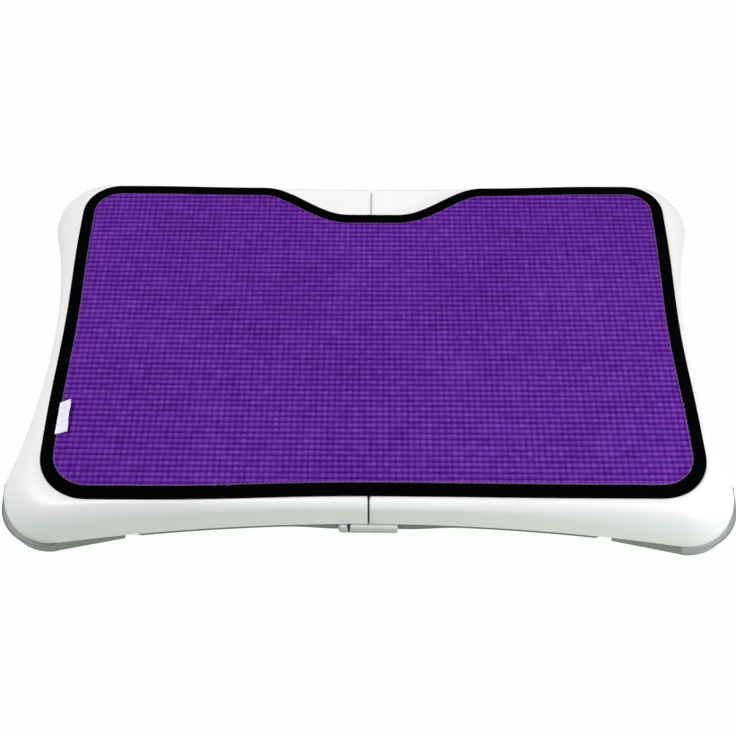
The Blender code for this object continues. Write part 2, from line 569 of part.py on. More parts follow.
for i in range(4):                             # moulded grip grooves by the latch
    boolean(lid, guide(box_bm(-102.5, -93.5, -BOX_HY + 10.5 + 2.2 * i, -BOX_HY + 11.6 + 2.2 * i, 5, BASE_Z + 0.6),
                       "lid_groove_%d" % i, cover_axis))

# ---------------------------------------------------------------- sync button
finish(turned_bm([(2.1, 22.6), (2.6, 23.1), (2.6, 29.7), (3.9, 29.7), (3.9, 31.0), (1.5, 31.0), (1.5, 31.5)],
                 SYNC_X, SYNC_Y, 16), "sync_button", SYNC_RED, sync_axis)

# ---------------------------------------------------------------- electronics
pcb = finish(prism_bm(rounded_rect(PCB_X0, PCB_X1, -PCB_HY, PCB_HY, 3, 3), PCB_Z, PCB_Z + 1.6), "main_board", PCB_GREEN, board)
parts = [box_bm(-54.0, -47.4, -25, -15, PCB_Z + 1.2, 41.0), box_bm(-54.0, -47.4, 15, 25, PCB_Z + 1.2, 41.0),
         box_bm(-54.0, -47.4, -5, 5, PCB_Z + 1.2, 41.0), box_bm(-125, -115, -37.6, -31, PCB_Z + 1.2, 41.0),
         box_bm(-125, -115, 31, 37.6, PCB_Z + 1.2, 41.0), box_bm(-67, -61, -3, 3, 32.6, PCB_Z + 0.4),
         box_bm(-130, -120, -8, 8, PCB_Z + 1.2, 38.4), box_bm(-112, -102, 20, 30, PCB_Z + 1.2, 38.0),
         box_bm(-112, -100, -30, -20, PCB_Z + 1.2, 38.6)]
for i, b in enumerate(parts):
    boolean(pcb, guide(b, "board_part_%d" % i, board), 'UNION')
for i, (x, y) in enumerate(((-132, 34.6), (-52, -34.6))):
    boolean(pcb, guide(cyl_bm(x, y, 1.5, 30, 40, 10), "board_hole_%d" % i, board))
    finish(turned_bm([(0.9, PCB_Z - 0.1), (1.1, PCB_Z + 1.9), (2.4, PCB_Z + 1.9), (2.4, PCB_Z + 3.0), (1.6, PCB_Z + 3.4)],
                     x, y, 12), "board_screw_%d" % (i + 1), ZINC, board)
can = finish(box_bm(-97, -72, -14, 14, PCB_Z + 1.9, 40.6), "shield_can", CAN, board)
boolean(can, guide(box_bm(-96.4, -72.6, -13.4, 13.4, PCB_Z, 40.0), "can_inside", board))
wm = finish(box_bm(-94, -66, 19, 35, PCB_Z + 1.9, PCB_Z + 2.9), "wireless_module", PCB_GREEN, board)
boolean(wm, guide(box_bm(-92, -76, 21, 33, PCB_Z + 2.6, PCB_Z + 5.0), "module_can", board), 'UNION')
boolean(wm, guide(box_bm(-73, -68, 21, 33, PCB_Z + 2.6, PCB_Z + 3.4), "module_aerial", board), 'UNION')

swb = finish(box_bm(-28.0, 28.0, -131.8, -130.0, 12.7, 23.4), "power_switch_board", PCB_GREEN, board)
boolean(swb, guide(box_bm(1.1, 7.1, -136.0, -131.2, 13.6, 19.6), "tact_switch", board), 'UNION')
boolean(swb, guide(box_bm(-19.6, -16.0, -135.2, -131.2, 14.6, 18.2), "indicator_led", board), 'UNION')
boolean(swb, guide(box_bm(8.5, 16.5, -130.5, -126.0, 14.2, 20.2), "switch_socket", board), 'UNION')


def bar_section(n=12):
    """Half-round front with a flat stem behind it, in (y, z)."""
    pts = [(BAR_Y + BAR_R * math.cos(math.radians(a)), BAR_Z + BAR_R * math.sin(math.radians(a)))
           for a in [90 + 180 * i / n for i in range(n + 1)]]
    return pts


def stem(name, x0, x1, y_back, mat, parent, flange):
    sec = bar_section() + [(y_back, BAR_Z - BAR_R), (y_back, BAR_Z + BAR_R)]
    ob = finish(prism_bm(sec, x0, x1, 'x'), name, mat, parent)
    if flange:
        boolean(ob, guide(box_bm(x0 - flange, x1 + (0 if name == "led_lens" else flange), -138.4, y_back + 0.3, 11.2, 22.0),
                          name + "_flange", parent), 'UNION')
    return ob


btn = stem("power_button", BUTTON_X0, BUTTON_X1, -137.3, BUTTON, button_axis, 0.0)
boolean(btn, guide(box_bm(BUTTON_X0 + 2, BUTTON_X1 + 1.6, -138.3, -137.1, 14.4, 21.6), "button_flange", button_axis), 'UNION')
lens = stem("led_lens", LENS_X0, LENS_X1, -136.4, LENS, board, 0.0)
boolean(lens, guide(box_bm(LENS_X0 - 1.6, LENS_X1 - 1.5, -138.3, -136.2, 14.4, 21.6), "lens_flange", board), 'UNION')
# dark divider in front of the bottom cover's wall, so that the indicator doesn't shine into the button
arc = [(BAR_Y + 4.25 * math.cos(math.radians(a)), BAR_Z + 4.25 * math.sin(math.radians(a))) for a in range(90, 271, 20)]
finish(prism_bm(arc + [(-142.1, BAR_Z - 4.25), (-142.1, BAR_Z + 4.25)], LENS_X1 + 0.3, BUTTON_X0 - 0.3, 'x'), "light_shield",
       RUBBER, board)


# ---------------------------------------------------------------- internal leads
def smooth_route(knots, count):
    """Catmull-Rom through the knots, evenly counted."""
    pts = [knots[0]] + list(knots) + [knots[-1]]
    out = []
    segs = len(knots) - 1
    for i in range(count):
        u = i / (count - 1) * segs
        s = min(int(u), segs - 1)
        t = u - s
        p0, p1, p2, p3 = (Vector(pts[s + k]) for k in range(4))
        out.append(0.5 * ((2 * p1) + (p2 - p0) * t + (2 * p0 - 5 * p1 + 4 * p2 - p3) * t * t
                          + (3 * p1 - p0 - 3 * p2 + p3) * t * t * t))
    return out


def lead(name, knots, r=1.7, count=25):
    cu = bpy.data.curves.new(name, 'CURVE')
    cu.dimensions = '3D'
    cu.bevel_depth = r * MM
    cu.bevel_resolution = 2
    cu.use_fill_caps = True
    sp = cu.splines.new('POLY')
    pts = smooth_route(knots, count)
    sp.points.add(len(pts) - 1)
    for p, q in zip(sp.points, pts):
        p.co = (q.x * MM, q.y * MM, q.z * MM, 1)
    cu.materials.append(LEAD)
    ob = bpy.data.objects.new(name, cu)
    scene.collection.objects.link(ob)
    ob.parent = board
    return ob


for sy, fb in ((-1, "front"), (1, "rear")):
    lead("load_lead_%s_right" % fb, [(165.4, sy * 128, 18.5), (152, sy * 126, 19), (128, sy * 108, 21), (80, sy * 72, 25),
                                     (30, sy * 44, 31), (-10, sy * 27, 37), (-34, sy * 20, 38.8), (-46.8, sy * 20, 38.8)])
    lead("load_lead_%s_left" % fb, [(-165.4, sy * 128, 18.5), (-153, sy * 126, 19), (-144, sy * 108, 24), (-134, sy * 80, 31),
                                    (-124, sy * 56, 37.5), (-120, sy * 46, 38.8), (-120, sy * 38.2, 38.8)], count=14)
lead("switch_lead", [(12.5, -125.4, 17.2), (12.5, -114, 17.5), (4, -90, 19), (-8, -56, 21), (-20, -26, 27), (-30, -6, 35),
                     (-38, 0, 38.6), (-46.8, 0, 38.8)], count=17)


# ---------------------------------------------------------------- mat
def mat_outline():
    """Counter-clockwise, in board millimetres: slightly waisted, with a notch at the back."""
    def bow(t):
        return 0.5 * (1 + math.cos(math.pi * max(-1, min(1, t))))

    def flank(s, y):
        half = (MAT_HX_BACK - MAT_BOW_BACK * bow(y / 95.0)) if y > 0 else (MAT_HX_FRONT - MAT_BOW_FRONT * bow(y / 85.0))
        return MAT_CX + MAT_SKEW * max(0.0, -y / 100.0) ** 1.5 + s * half

    def front(x):
        reach, depth, _ = MAT_Y_FRONT[1 if x > 0 else -1]
        return -reach + depth * bow(x / 150.0)

    def back(x):
        reach = MAT_Y_BACK[1 if x > 0 else -1][0]
        shoulder = MAT_SHOULDER + (reach - MAT_SHOULDER) * smoothstep((abs(x) - 90) / 90)
        return shoulder - NOTCH_DEEP * (1 - smoothstep((abs(x - NOTCH_X) - NOTCH_FLAT) / NOTCH_SLOPE))

    def corner(s, t, n=8):
        reach, r = MAT_Y_BACK[s] if t > 0 else MAT_Y_FRONT[s][::2]
        cy = t * (reach - r)
        cx = flank(s, cy) - s * r
        arc = [(cx + s * r * math.cos(math.radians(90 * i / n)), cy + t * r * math.sin(math.radians(90 * i / n)))
               for i in range(n + 1)]
        return arc if s * t > 0 else arc[::-1]

    c = {(s, t): corner(s, t) for s in (-1, 1) for t in (-1, 1)}
    ys = {k: (v[0] if k[0] * k[1] > 0 else v[-1])[1] for k, v in c.items()}
    xs = {k: (v[-1] if k[0] * k[1] > 0 else v[0])[0] for k, v in c.items()}
    pts = [(flank(1, y), y) for y in [ys[1, -1] + (ys[1, 1] - ys[1, -1]) * i / 10 for i in range(1, 10)]]
    pts += c[1, 1]
    pts += [(x, back(x)) for x in (160, 130, 106, 92, 80, 71, 62, 53, 44, 34, 22, 8, -8, -20, -31, -41, -50, -59, -68, -77,
                                   -89, -104, -130, -160)]
    pts += c[-1, 1]
    pts += [(flank(-1, y), y) for y in [ys[-1, 1] + (ys[-1, -1] - ys[-1, 1]) * i / 10 for i in range(1, 10)]]
    pts += c[-1, -1]
    pts += [(x, front(x)) for x in [xs[-1, -1] + (xs[1, -1] - xs[-1, -1]) * i / 14 for i in range(1, 14)]]
    pts += c[1, -1]
    return pts


MAT = mat_outline()
pad_line = offset(MAT, -BIND_W - 0.3)
finish(prism_bm(pad_line, MAT_Z0, PAD_Z1), "mat_pad", PURPLE, mat_frame)
ring_in = offset(MAT, -BIND_W)
bind = [[(p[0], p[1], z) for p in line] for line, z in
        ((ring_in, MAT_Z0), (MAT, MAT_Z0), (offset(MAT, 0.0), BIND_Z1 - 0.8), (offset(MAT, -0.8), BIND_Z1), (ring_in, BIND_Z1))]
finish(stack_bm(bind, close=False, cap=False), "mat_binding", BLACK, mat_frame)
tab = [(-216.2, -93.5), (-209.4, -91.0), (-211.2, -64.5), (-217.2, -67.5)]
finish(prism_bm(tab, PAD_Z1 + 0.3, PAD_Z1 + 1.0), "mat_tab", TAB, mat_frame)

bpy.context.view_layer.update()
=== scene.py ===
"""Looks of the balance board with its slip mat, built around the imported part.

The lengths below are board millimetres unless a name ends in _M, and every
mesh is turned to metres when it becomes an object.
"""
import json
import math

import bmesh
import bpy
import numpy as np
from mathutils import Matrix, Vector

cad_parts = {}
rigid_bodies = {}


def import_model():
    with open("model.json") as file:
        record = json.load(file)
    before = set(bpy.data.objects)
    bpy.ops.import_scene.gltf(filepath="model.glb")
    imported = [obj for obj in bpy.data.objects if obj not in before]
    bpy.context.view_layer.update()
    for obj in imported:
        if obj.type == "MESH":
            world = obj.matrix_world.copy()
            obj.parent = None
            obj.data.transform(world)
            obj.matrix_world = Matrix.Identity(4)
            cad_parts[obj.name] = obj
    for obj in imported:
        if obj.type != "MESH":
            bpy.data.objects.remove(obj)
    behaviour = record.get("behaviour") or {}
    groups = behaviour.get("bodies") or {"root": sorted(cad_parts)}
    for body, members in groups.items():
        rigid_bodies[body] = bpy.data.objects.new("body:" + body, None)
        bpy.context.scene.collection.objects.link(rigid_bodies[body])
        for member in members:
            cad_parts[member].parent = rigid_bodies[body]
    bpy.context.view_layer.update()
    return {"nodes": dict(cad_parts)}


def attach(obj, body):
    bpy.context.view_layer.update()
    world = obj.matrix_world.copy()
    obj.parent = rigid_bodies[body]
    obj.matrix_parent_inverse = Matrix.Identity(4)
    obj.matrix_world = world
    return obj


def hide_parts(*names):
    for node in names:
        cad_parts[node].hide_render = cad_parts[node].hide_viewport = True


for old in list(bpy.data.objects):
    bpy.data.objects.remove(old, do_unlink=True)
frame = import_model()
scene = bpy.context.scene
NODES = frame["nodes"]
MM = 0.001

# ------------------------------------------------------------------ dimensions
LENGTH, DEPTH, HEIGHT = 509.4, 316.0, 53.2
CORNER_R = 35.0
PINCH_LONG, PINCH_SHORT = 13.0, 17.0
TOP_HX, TOP_HY, TOP_R = 229.0, 145.5, 24.0
TOP_PINCH_LONG, TOP_PINCH_SHORT = 4.4, 2.7
WAIST_Z, EDGE_MID_Z, EDGE_CORNER_Z, SHOULDER = 19.9, 22.9, 16.0, 7.0
WALL, SEAM, JOINT_X = 2.5, 0.7, 0.45
ARCH_X, ARCH_Y = 223.0, 126.0
BASE_INSET, BASE_INSET_FOOT, BASE_Z, BASE_T = 3.3, 8.6, 9.5, 2.5
FOOT_X, FOOT_Y, FOOT_TOP, FOOT_LOW, PAD_TOP = 171.0, 108.0, 9.2, 1.0, 1.7
FOOT_CX, FOOT_CY, FOOT_R, FOOT_CREASE_X, FOOT_END_Y = 223.1, 124.6, 31.7, 218.5, 145.6
REAR_TUCK = 5.4
FOOT_DRAFT, FOOT_LEAN, FOOT_STEP = 3.3 / 13.5, 0.5, 0.3
COLLAR_GAP, COLLAR_IN = 0.6, 7.6
CELL_Y, CELL_Z0, FOOT_BOLT_X = 128.0, 12.9, 226.0
BUTTON_X0, BUTTON_X1, LENS_X0, LENS_X1 = -12.3, 20.5, -20.8, -14.5
BAR_Y, BAR_Z, BAR_R = -143.0, 16.2, 4.5
BOX_X0, BOX_X1, BOX_HY = -134.0, -57.5, 29.3
CELL_PITCH, BATT_R, BATT_L, BATT_Z = 14.9, 7.1, 49.2, 19.7
PCB_Z, SYNC_X, SYNC_Y = 35.0, -64.0, 0.0
SCREWS = {"front_left": (-70, -127), "front_right": (70, -127), "rear_left": (-70, 127),
          "rear_right": (70, 127), "end_left": (-221, 0), "end_right": (221, 0)}
MAT_CX, MAT_SKEW = 1.6, 1.2
MAT_HX_FRONT, MAT_HX_BACK, MAT_BOW_FRONT, MAT_BOW_BACK = 228.9, 229.4, 1.6, 2.1
MAT_Y_FRONT = {-1: (144.2, 3.5, 36.0), 1: (141.5, 0.8, 33.0)}
MAT_Y_BACK = {-1: (145.4, 28.0), 1: (146.2, 27.0)}
MAT_SHOULDER = 143.9
NOTCH_X, NOTCH_FLAT, NOTCH_SLOPE, NOTCH_DEEP = 2.0, 20.3, 66.0, 29.2
MAT_Z0, PAD_Z1, BIND_Z1, BIND_W = 53.5, 56.2, 56.8, 9.6
WEAVE_X, WEAVE_Y = 4.29, 4.56           # pitch of the waffle along X and Y

# ---------------------------------------------------------------------- camera
# A 62.4 mm lens on a square frame, 54 degrees above the floor, in front.
YAW, PITCH, ROLL = math.radians(-0.7528), math.radians(53.9057), math.radians(-0.3411)
AIM, FAR, LENS = Vector((-1.098, -13.722, 26.0)) * MM, 955.10 * MM, 62.373
look = Vector((math.sin(YAW) * math.cos(PITCH), math.cos(YAW) * math.cos(PITCH), -math.sin(PITCH)))
side = Vector((math.cos(YAW), -math.sin(YAW), 0.0))
up = side.cross(look)
cam_x = math.cos(ROLL) * side + math.sin(ROLL) * up
cam_y = -math.sin(ROLL) * side + math.cos(ROLL) * up
cam_data = bpy.data.cameras.new("view")
cam_data.sensor_width = 36.0
cam_data.lens = LENS
cam_data.clip_start, cam_data.clip_end = 0.05, 50.0
camera = bpy.data.objects.new("view", cam_data)
scene.collection.objects.link(camera)
turn = Matrix((cam_x, cam_y, -look)).transposed().to_4x4()
camera.matrix_world = Matrix.Translation(AIM - look * FAR) @ turn
scene.camera = camera


# ------------------------------------------------------------- outline helpers
def normals(pts):
    p = np.asarray(pts, float)
    d = np.roll(p, -1, 0) - np.roll(p, 1, 0)
    n = np.stack([d[:, 1], -d[:, 0]], 1)
    return n / np.linalg.norm(n, axis=1)[:, None]


def offset(pts, dist):
    return np.asarray(pts, float) + normals(pts) * dist


def waisted(hx, hy, pinch_short, pinch_long, r, n_short, n_corner, n_long):
    """Closed outline: four corner arcs joined by shallow inward arcs, counter-clockwise."""
    cx, cy = hx - r, hy - r
    e = hy - pinch_long - cy
    big = (cx * cx + e * e - r * r) / (2 * (r - e))
    a_long = math.atan2(cx, hy - pinch_long + big - cy)
    e2 = hx - pinch_short - cx
    big2 = (cy * cy + e2 * e2 - r * r) / (2 * (r - e2))
    a_short = math.atan2(cy, hx - pinch_short + big2 - cx)
    q = []
    for i in range(n_short):
        t = a_short * i / n_short
        q.append((hx - pinch_short + big2 - big2 * math.cos(t), big2 * math.sin(t)))
    for i in range(n_corner + 1):
        t = -a_short + (math.pi / 2 + a_long + a_short) * i / n_corner
        q.append((cx + r * math.cos(t), cy + r * math.sin(t)))
    for i in range(1, n_long + 1):
        t = a_long * (1 - i / n_long)
        q.append((big * math.sin(t), hy - pinch_long + big - big * math.cos(t)))
    out = list(q)
    out += [(-x, y) for x, y in reversed(q[:-1])]
    out += [(-x, -y) for x, y in q[1:]]
    out += [(x, -y) for x, y in reversed(q[1:-1])]
    return np.array(out)


FINE = dict(n_short=16, n_corner=28, n_long=26)
OUTLINE = waisted(LENGTH / 2, DEPTH / 2, PINCH_SHORT, PINCH_LONG, CORNER_R, **FINE)
TOPLINE = waisted(TOP_HX, TOP_HY, TOP_PINCH_SHORT, TOP_PINCH_LONG, TOP_R, **FINE)


def edge_height(pts):
    u, v = np.minimum(1.0, np.abs(pts[:, 0]) / ARCH_X) ** 2, np.minimum(1.0, np.abs(pts[:, 1]) / ARCH_Y) ** 2
    return EDGE_MID_Z + (EDGE_CORNER_Z - EDGE_MID_Z) * u * v


EDGE = edge_height(OUTLINE)


def smoothstep(t):
    t = np.clip(t, 0.0, 1.0)
    return t * t * (3 - 2 * t)


def base_inset(pts):
    """The bottom cover's wall steps in beside the feet, to leave room for their collars."""
    u = (np.minimum(1.0, np.abs(pts[:, 0]) / ARCH_X) * np.minimum(1.0, np.abs(pts[:, 1]) / ARCH_Y)) ** 2
    near = smoothstep((np.abs(pts[:, 0]) - 161.0) / 8.0)           # on the long sides, only just before the collar
    return BASE_INSET + (BASE_INSET_FOOT - BASE_INSET) * smoothstep((u - 0.34) / 0.14) * near


def rounded_rect(x0, x1, y0, y1, r, n=5):
    pts = []
    for cx, cy, a0 in ((x1 - r, y0 + r, -90), (x1 - r, y1 - r, 0), (x0 + r, y1 - r, 90), (x0 + r, y0 + r, 180)):
        for i in range(n + 1):
            a = math.radians(a0 + 90 * i / n)
            pts.append((cx + r * math.cos(a), cy + r * math.sin(a)))
    return pts


def circle(cx, cy, r, n=32):
    return [(cx + r * math.cos(2 * math.pi * (i + 0.5) / n), cy + r * math.sin(2 * math.pi * (i + 0.5) / n))
            for i in range(n)]


def resampled(pts, step):
    """The closed outline again, with its points evenly step apart."""
    p = np.vstack([pts, pts[:1]])
    d = np.concatenate([[0], np.cumsum(np.linalg.norm(np.diff(p, axis=0), axis=1))])
    n = int(round(d[-1] / step))
    t = np.arange(n) * d[-1] / n
    return np.stack([np.interp(t, d, p[:, 0]), np.interp(t, d, p[:, 1])], 1)


def smoothed(pts, rounds):
    for _ in range(rounds):
        pts = 0.5 * pts + 0.25 * (np.roll(pts, 1, 0) + np.roll(pts, -1, 0))
    return pts


def inside(poly, xy):
    """Which of the points xy lie in the closed outline poly."""
    res = np.zeros(len(xy), bool)
    x, y = xy[:, 0], xy[:, 1]
    for (x0, y0), (x1, y1) in zip(poly, np.roll(poly, -1, 0)):
        if y0 != y1:
            hit = (y0 > y) != (y1 > y)
            res ^= hit & (x < (x1 - x0) * (y - y0) / (y1 - y0) + x0)
    return res


def wander(count, every, seed):
    """Smooth closed noise from -1 to 1 with a value for each of count steps."""
    knots = max(4, int(count / every))
    v = np.random.RandomState(seed).uniform(-1, 1, knots)
    t = np.arange(count) * knots / count
    i = t.astype(int)
    f = smoothstep(t - i)
    return v[i % knots] * (1 - f) + v[(i + 1) % knots] * f


def lattice(shape, cell, seed):
    """Smooth 2-D noise from -1 to 1 over an array, with knots every cell entries."""
    rs = np.random.RandomState(seed)
    a = rs.uniform(-1, 1, (int(shape[0] / cell[0]) + 3, int(shape[1] / cell[1]) + 3))
    u, v = np.arange(shape[0]) / cell[0], np.arange(shape[1]) / cell[1]
    i, j = u.astype(int), v.astype(int)
    fu, fv = smoothstep(u - i)[:, None], smoothstep(v - j)[None, :]
    a00, a01 = a[np.ix_(i, j)], a[np.ix_(i, j + 1)]
    a10, a11 = a[np.ix_(i + 1, j)], a[np.ix_(i + 1, j + 1)]
    return (a00 * (1 - fv) + a01 * fv) * (1 - fu) + (a10 * (1 - fv) + a11 * fv) * fu


# ---------------------------------------------------------------- mesh helpers
def to_object(bm, name, sharp=35.0):
    bmesh.ops.recalc_face_normals(bm, faces=bm.faces[:])
    for v in bm.verts:
        v.co = v.co * MM
    me = bpy.data.meshes.new(name)
    bm.to_mesh(me)
    bm.free()
    ob = bpy.data.objects.new(name, me)
    scene.collection.objects.link(ob)
    me.shade_smooth()
    if sharp:
        me.set_sharp_from_angle(angle=math.radians(sharp))
    return ob


def skin(rings, bm=None, caps=True, loop=False):
    """Skins closed rings of equal counts; loop joins the last ring to the first."""
    bm = bm or bmesh.new()
    vs = [[bm.verts.new(p) for p in r] for r in rings]
    n = len(vs[0])
    pairs = list(zip(vs[:-1], vs[1:]))
    if loop:
        pairs.append((vs[-1], vs[0]))
    for a, b in pairs:
        for i in range(n):
            j = (i + 1) % n
            bm.faces.new((a[i], a[j], b[j], b[i]))
    if caps and not loop:
        bm.faces.new(list(reversed(vs[0])))
        bm.faces.new(vs[-1])
    return bm


def ring_at(pts, z):
    z = np.broadcast_to(z, (len(pts),))
    return [(p[0], p[1], h) for p, h in zip(pts, z)]


def prism(points, lo, hi, axis='z', bm=None):
    put = {'z': lambda a, b, t: (a, b, t), 'y': lambda a, b, t: (a, t, b), 'x': lambda a, b, t: (t, a, b)}[axis]
    return skin([[put(a, b, t) for a, b in points] for t in (lo, hi)], bm)


def box(x0, x1, y0, y1, z0, z1, bm=None):
    return prism([(x0, y0), (x1, y0), (x1, y1), (x0, y1)], z0, z1, 'z', bm)


def cylinder(cx, cy, r, z0, z1, n=32, bm=None):
    return prism(circle(cx, cy, r, n), z0, z1, 'z', bm)


def turned(profile, cx, cy, n=32, bm=None):
    return skin([[(a, b, h) for a, b in circle(cx, cy, r, n)] for r, h in profile], bm)


def cut_with(target, bm, operation='DIFFERENCE'):
    """Booleans target with the shape in bm and leaves the result as its mesh."""
    tool = to_object(bm, "tool", None)
    m = target.modifiers.new("cut", 'BOOLEAN')
    m.operation, m.solver, m.object = operation, 'EXACT', tool
    settle(target)
    bpy.data.objects.remove(tool, do_unlink=True)
    return target


def settle(ob, sharp=35.0):
    """Applies the modifiers of ob."""
    bpy.context.view_layer.update()
    dg = bpy.context.evaluated_depsgraph_get()
    me = bpy.data.meshes.new_from_object(ob.evaluated_get(dg))
    ob.modifiers.clear()
    old_mesh = ob.data
    ob.data = me
    bpy.data.meshes.remove(old_mesh)
    if sharp:
        me.shade_smooth()
        me.set_sharp_from_angle(angle=math.radians(sharp))
    return ob


def soften(ob, width, segments=2, angle=40.0):
    """Rounds the sharp edges of ob."""
    m = ob.modifiers.new("round", 'BEVEL')
    m.width, m.segments, m.limit_method, m.angle_limit = width * MM, segments, 'ANGLE', math.radians(angle)
    m.use_clamp_overlap, m.harden_normals = True, False
    settle(ob, 50.0)
    return ob


def paint(ob, *mats):
    ob.data.materials.clear()
    for m in mats:
        ob.data.materials.append(m)
    return ob


# -------------------------------------------------------------------- materials
class Mat:
    """A node material with short calls for the nodes used here."""

    def __init__(self, name, base, rough, metal=0.0, **fixed):
        self.m = bpy.data.materials.new(name)
        self.m.use_nodes = True
        self.t = self.m.node_tree
        self.b = self.t.nodes["Principled BSDF"]
        self.b.inputs["Base Color"].default_value = (*base, 1)
        self.b.inputs["Roughness"].default_value = rough
        self.b.inputs["Metallic"].default_value = metal
        for k, v in fixed.items():
            self.b.inputs[k.replace("_", " ")].default_value = v
        self.m.diffuse_color = (*base, 1)
        self.coords = self.add("ShaderNodeTexCoord").outputs["Object"]

    def add(self, kind, **props):
        n = self.t.nodes.new(kind)
        for k, v in props.items():
            setattr(n, k, v)
        return n

    def link(self, a, b):
        self.t.links.new(a, b)

    def stretched(self, scale, turn=(0, 0, 0)):
        n = self.add("ShaderNodeMapping")
        n.inputs["Scale"].default_value = scale
        n.inputs["Rotation"].default_value = turn
        self.link(self.coords, n.inputs["Vector"])
        return n.outputs["Vector"]

    def noise(self, scale, detail=3.0, rough=0.5, at=None, distortion=0.0):
        n = self.add("ShaderNodeTexNoise")
        n.inputs["Scale"].default_value = scale
        n.inputs["Detail"].default_value = detail
        n.inputs["Roughness"].default_value = rough
        n.inputs["Distortion"].default_value = distortion
        self.link(at or self.coords, n.inputs["Vector"])
        return n.outputs["Fac"]

    def wave(self, scale, axis='X', at=None, distortion=0.0, detail_scale=1.0, profile='SIN'):
        n = self.add("ShaderNodeTexWave", bands_direction=axis, wave_profile=profile)
        n.inputs["Scale"].default_value = scale
        n.inputs["Distortion"].default_value = distortion
        n.inputs["Detail Scale"].default_value = detail_scale
        self.link(at or self.coords, n.inputs["Vector"])
        return n.outputs["Fac"]

    def voronoi(self, scale, at=None, feature='F1', output="Distance"):
        n = self.add("ShaderNodeTexVoronoi", feature=feature)
        n.inputs["Scale"].default_value = scale
        self.link(at or self.coords, n.inputs["Vector"])
        return n.outputs[output]

    def attribute(self, name):
        return self.add("ShaderNodeAttribute", attribute_name=name).outputs["Fac"]

    def ramp(self, fac, *stops):
        n = self.add("ShaderNodeValToRGB")
        e = n.color_ramp.elements
        while len(e) < len(stops):
            e.new(0.5)
        for s, (at, c) in zip(e, stops):
            s.position = at
            s.color = (*c, 1) if len(c) == 3 else c
        self.link(fac, n.inputs["Fac"])
        return n.outputs["Color"]

    def spread(self, fac, lo, hi, a=0.0, b=1.0):
        n = self.add("ShaderNodeMapRange")
        for k, v in (("From Min", a), ("From Max", b), ("To Min", lo), ("To Max", hi)):
            n.inputs[k].default_value = v
        self.link(fac, n.inputs["Value"])
        return n.outputs["Result"]

    def math(self, op, a, b=None):
        n = self.add("ShaderNodeMath", operation=op)
        for s, v in zip(n.inputs, (a, b)):
            if v is None:
                continue
            if isinstance(v, (int, float)):
                s.default_value = v
            else:
                self.link(v, s)
        return n.outputs[0]

    def mix(self, fac, a, b, blend='MIX'):
        n = self.add("ShaderNodeMix", data_type='RGBA', blend_type=blend)
        for s, v in ((n.inputs[0], fac), (n.inputs[6], a), (n.inputs[7], b)):
            if isinstance(v, (int, float)):
                s.default_value = v
            elif isinstance(v, tuple):
                s.default_value = (*v, 1)
            else:
                self.link(v, s)
        return n.outputs[2]

    def colour(self, c):
        self.link(c, self.b.inputs["Base Color"])
        return self

    def rough(self, fac, lo, hi, a=0.0, b=1.0):
        self.link(self.spread(fac, lo, hi, a, b), self.b.inputs["Roughness"])
        return self

    def bump(self, height, depth_mm, strength=1.0):
        n = self.add("ShaderNodeBump")
        n.inputs["Strength"].default_value = strength
        n.inputs["Distance"].default_value = depth_mm * MM
        self.link(height, n.inputs["Height"])
        before = self.b.inputs["Normal"].links
        if before:
            self.link(before[0].from_socket, n.inputs["Normal"])
        self.link(n.outputs["Normal"], self.b.inputs["Normal"])
        return self


def plastic(name, low, high, rough, grain=0.02, grain_scale=1600.0, **fixed):
    """Moulded plastic: faint mottling, fine spark-eroded grain and rubbed patches."""
    k = Mat(name, high, rough, **fixed)
    k.colour(k.ramp(k.noise(35.0, 4.0), (0.35, low), (0.65, high)))
    k.rough(k.noise(18.0, 5.0, 0.6, distortion=0.4), rough - 0.05, rough + 0.07, 0.3, 0.7)
    k.bump(k.noise(grain_scale, 2.0), grain)
    return k.m


def metal(name, low, high, rough, streak=(1, 40, 40), **fixed):
    """Plated steel: brushed streaks, matte spots."""
    k = Mat(name, high, rough, 1.0, **fixed)
    s = k.noise(60.0, 5.0, 0.7, at=k.stretched(streak))
    k.colour(k.ramp(k.noise(45.0, 4.0), (0.3, low), (0.7, high)))
    k.rough(s, rough - 0.08, rough + 0.12, 0.3, 0.7)
    k.bump(s, 0.01)
    return k.m


COVER = plastic("cover_white", (0.722, 0.732, 0.724), (0.742, 0.752, 0.744), 0.42, 0.010)


def base_material():
    """Underside plastic: pale on the flat, the wall under the cover's lip painted dark grey as painted shade."""
    k = Mat("base_white", (0.5, 0.52, 0.5), 0.5)
    height = k.add("ShaderNodeSeparateXYZ")
    k.link(k.coords, height.inputs[0])
    # painted shade: above the flat, the wall under the cover's lip turns dark grey
    wall_shade = k.spread(height.outputs["Z"], 0.0, 1.0, 0.0097, 0.0112)
    pale = k.ramp(k.noise(35.0, 4.0), (0.35, (0.50, 0.52, 0.50)), (0.65, (0.56, 0.58, 0.56)))
    under_lip_shade = k.ramp(k.noise(60.0, 4.0), (0.35, (0.100, 0.118, 0.106)), (0.65, (0.125, 0.145, 0.130)))
    k.colour(k.mix(wall_shade, pale, under_lip_shade))
    k.rough(k.noise(18.0, 5.0, 0.6, distortion=0.4), 0.45, 0.57, 0.3, 0.7)
    k.bump(k.noise(900.0, 2.0), 0.03)
    return k.m


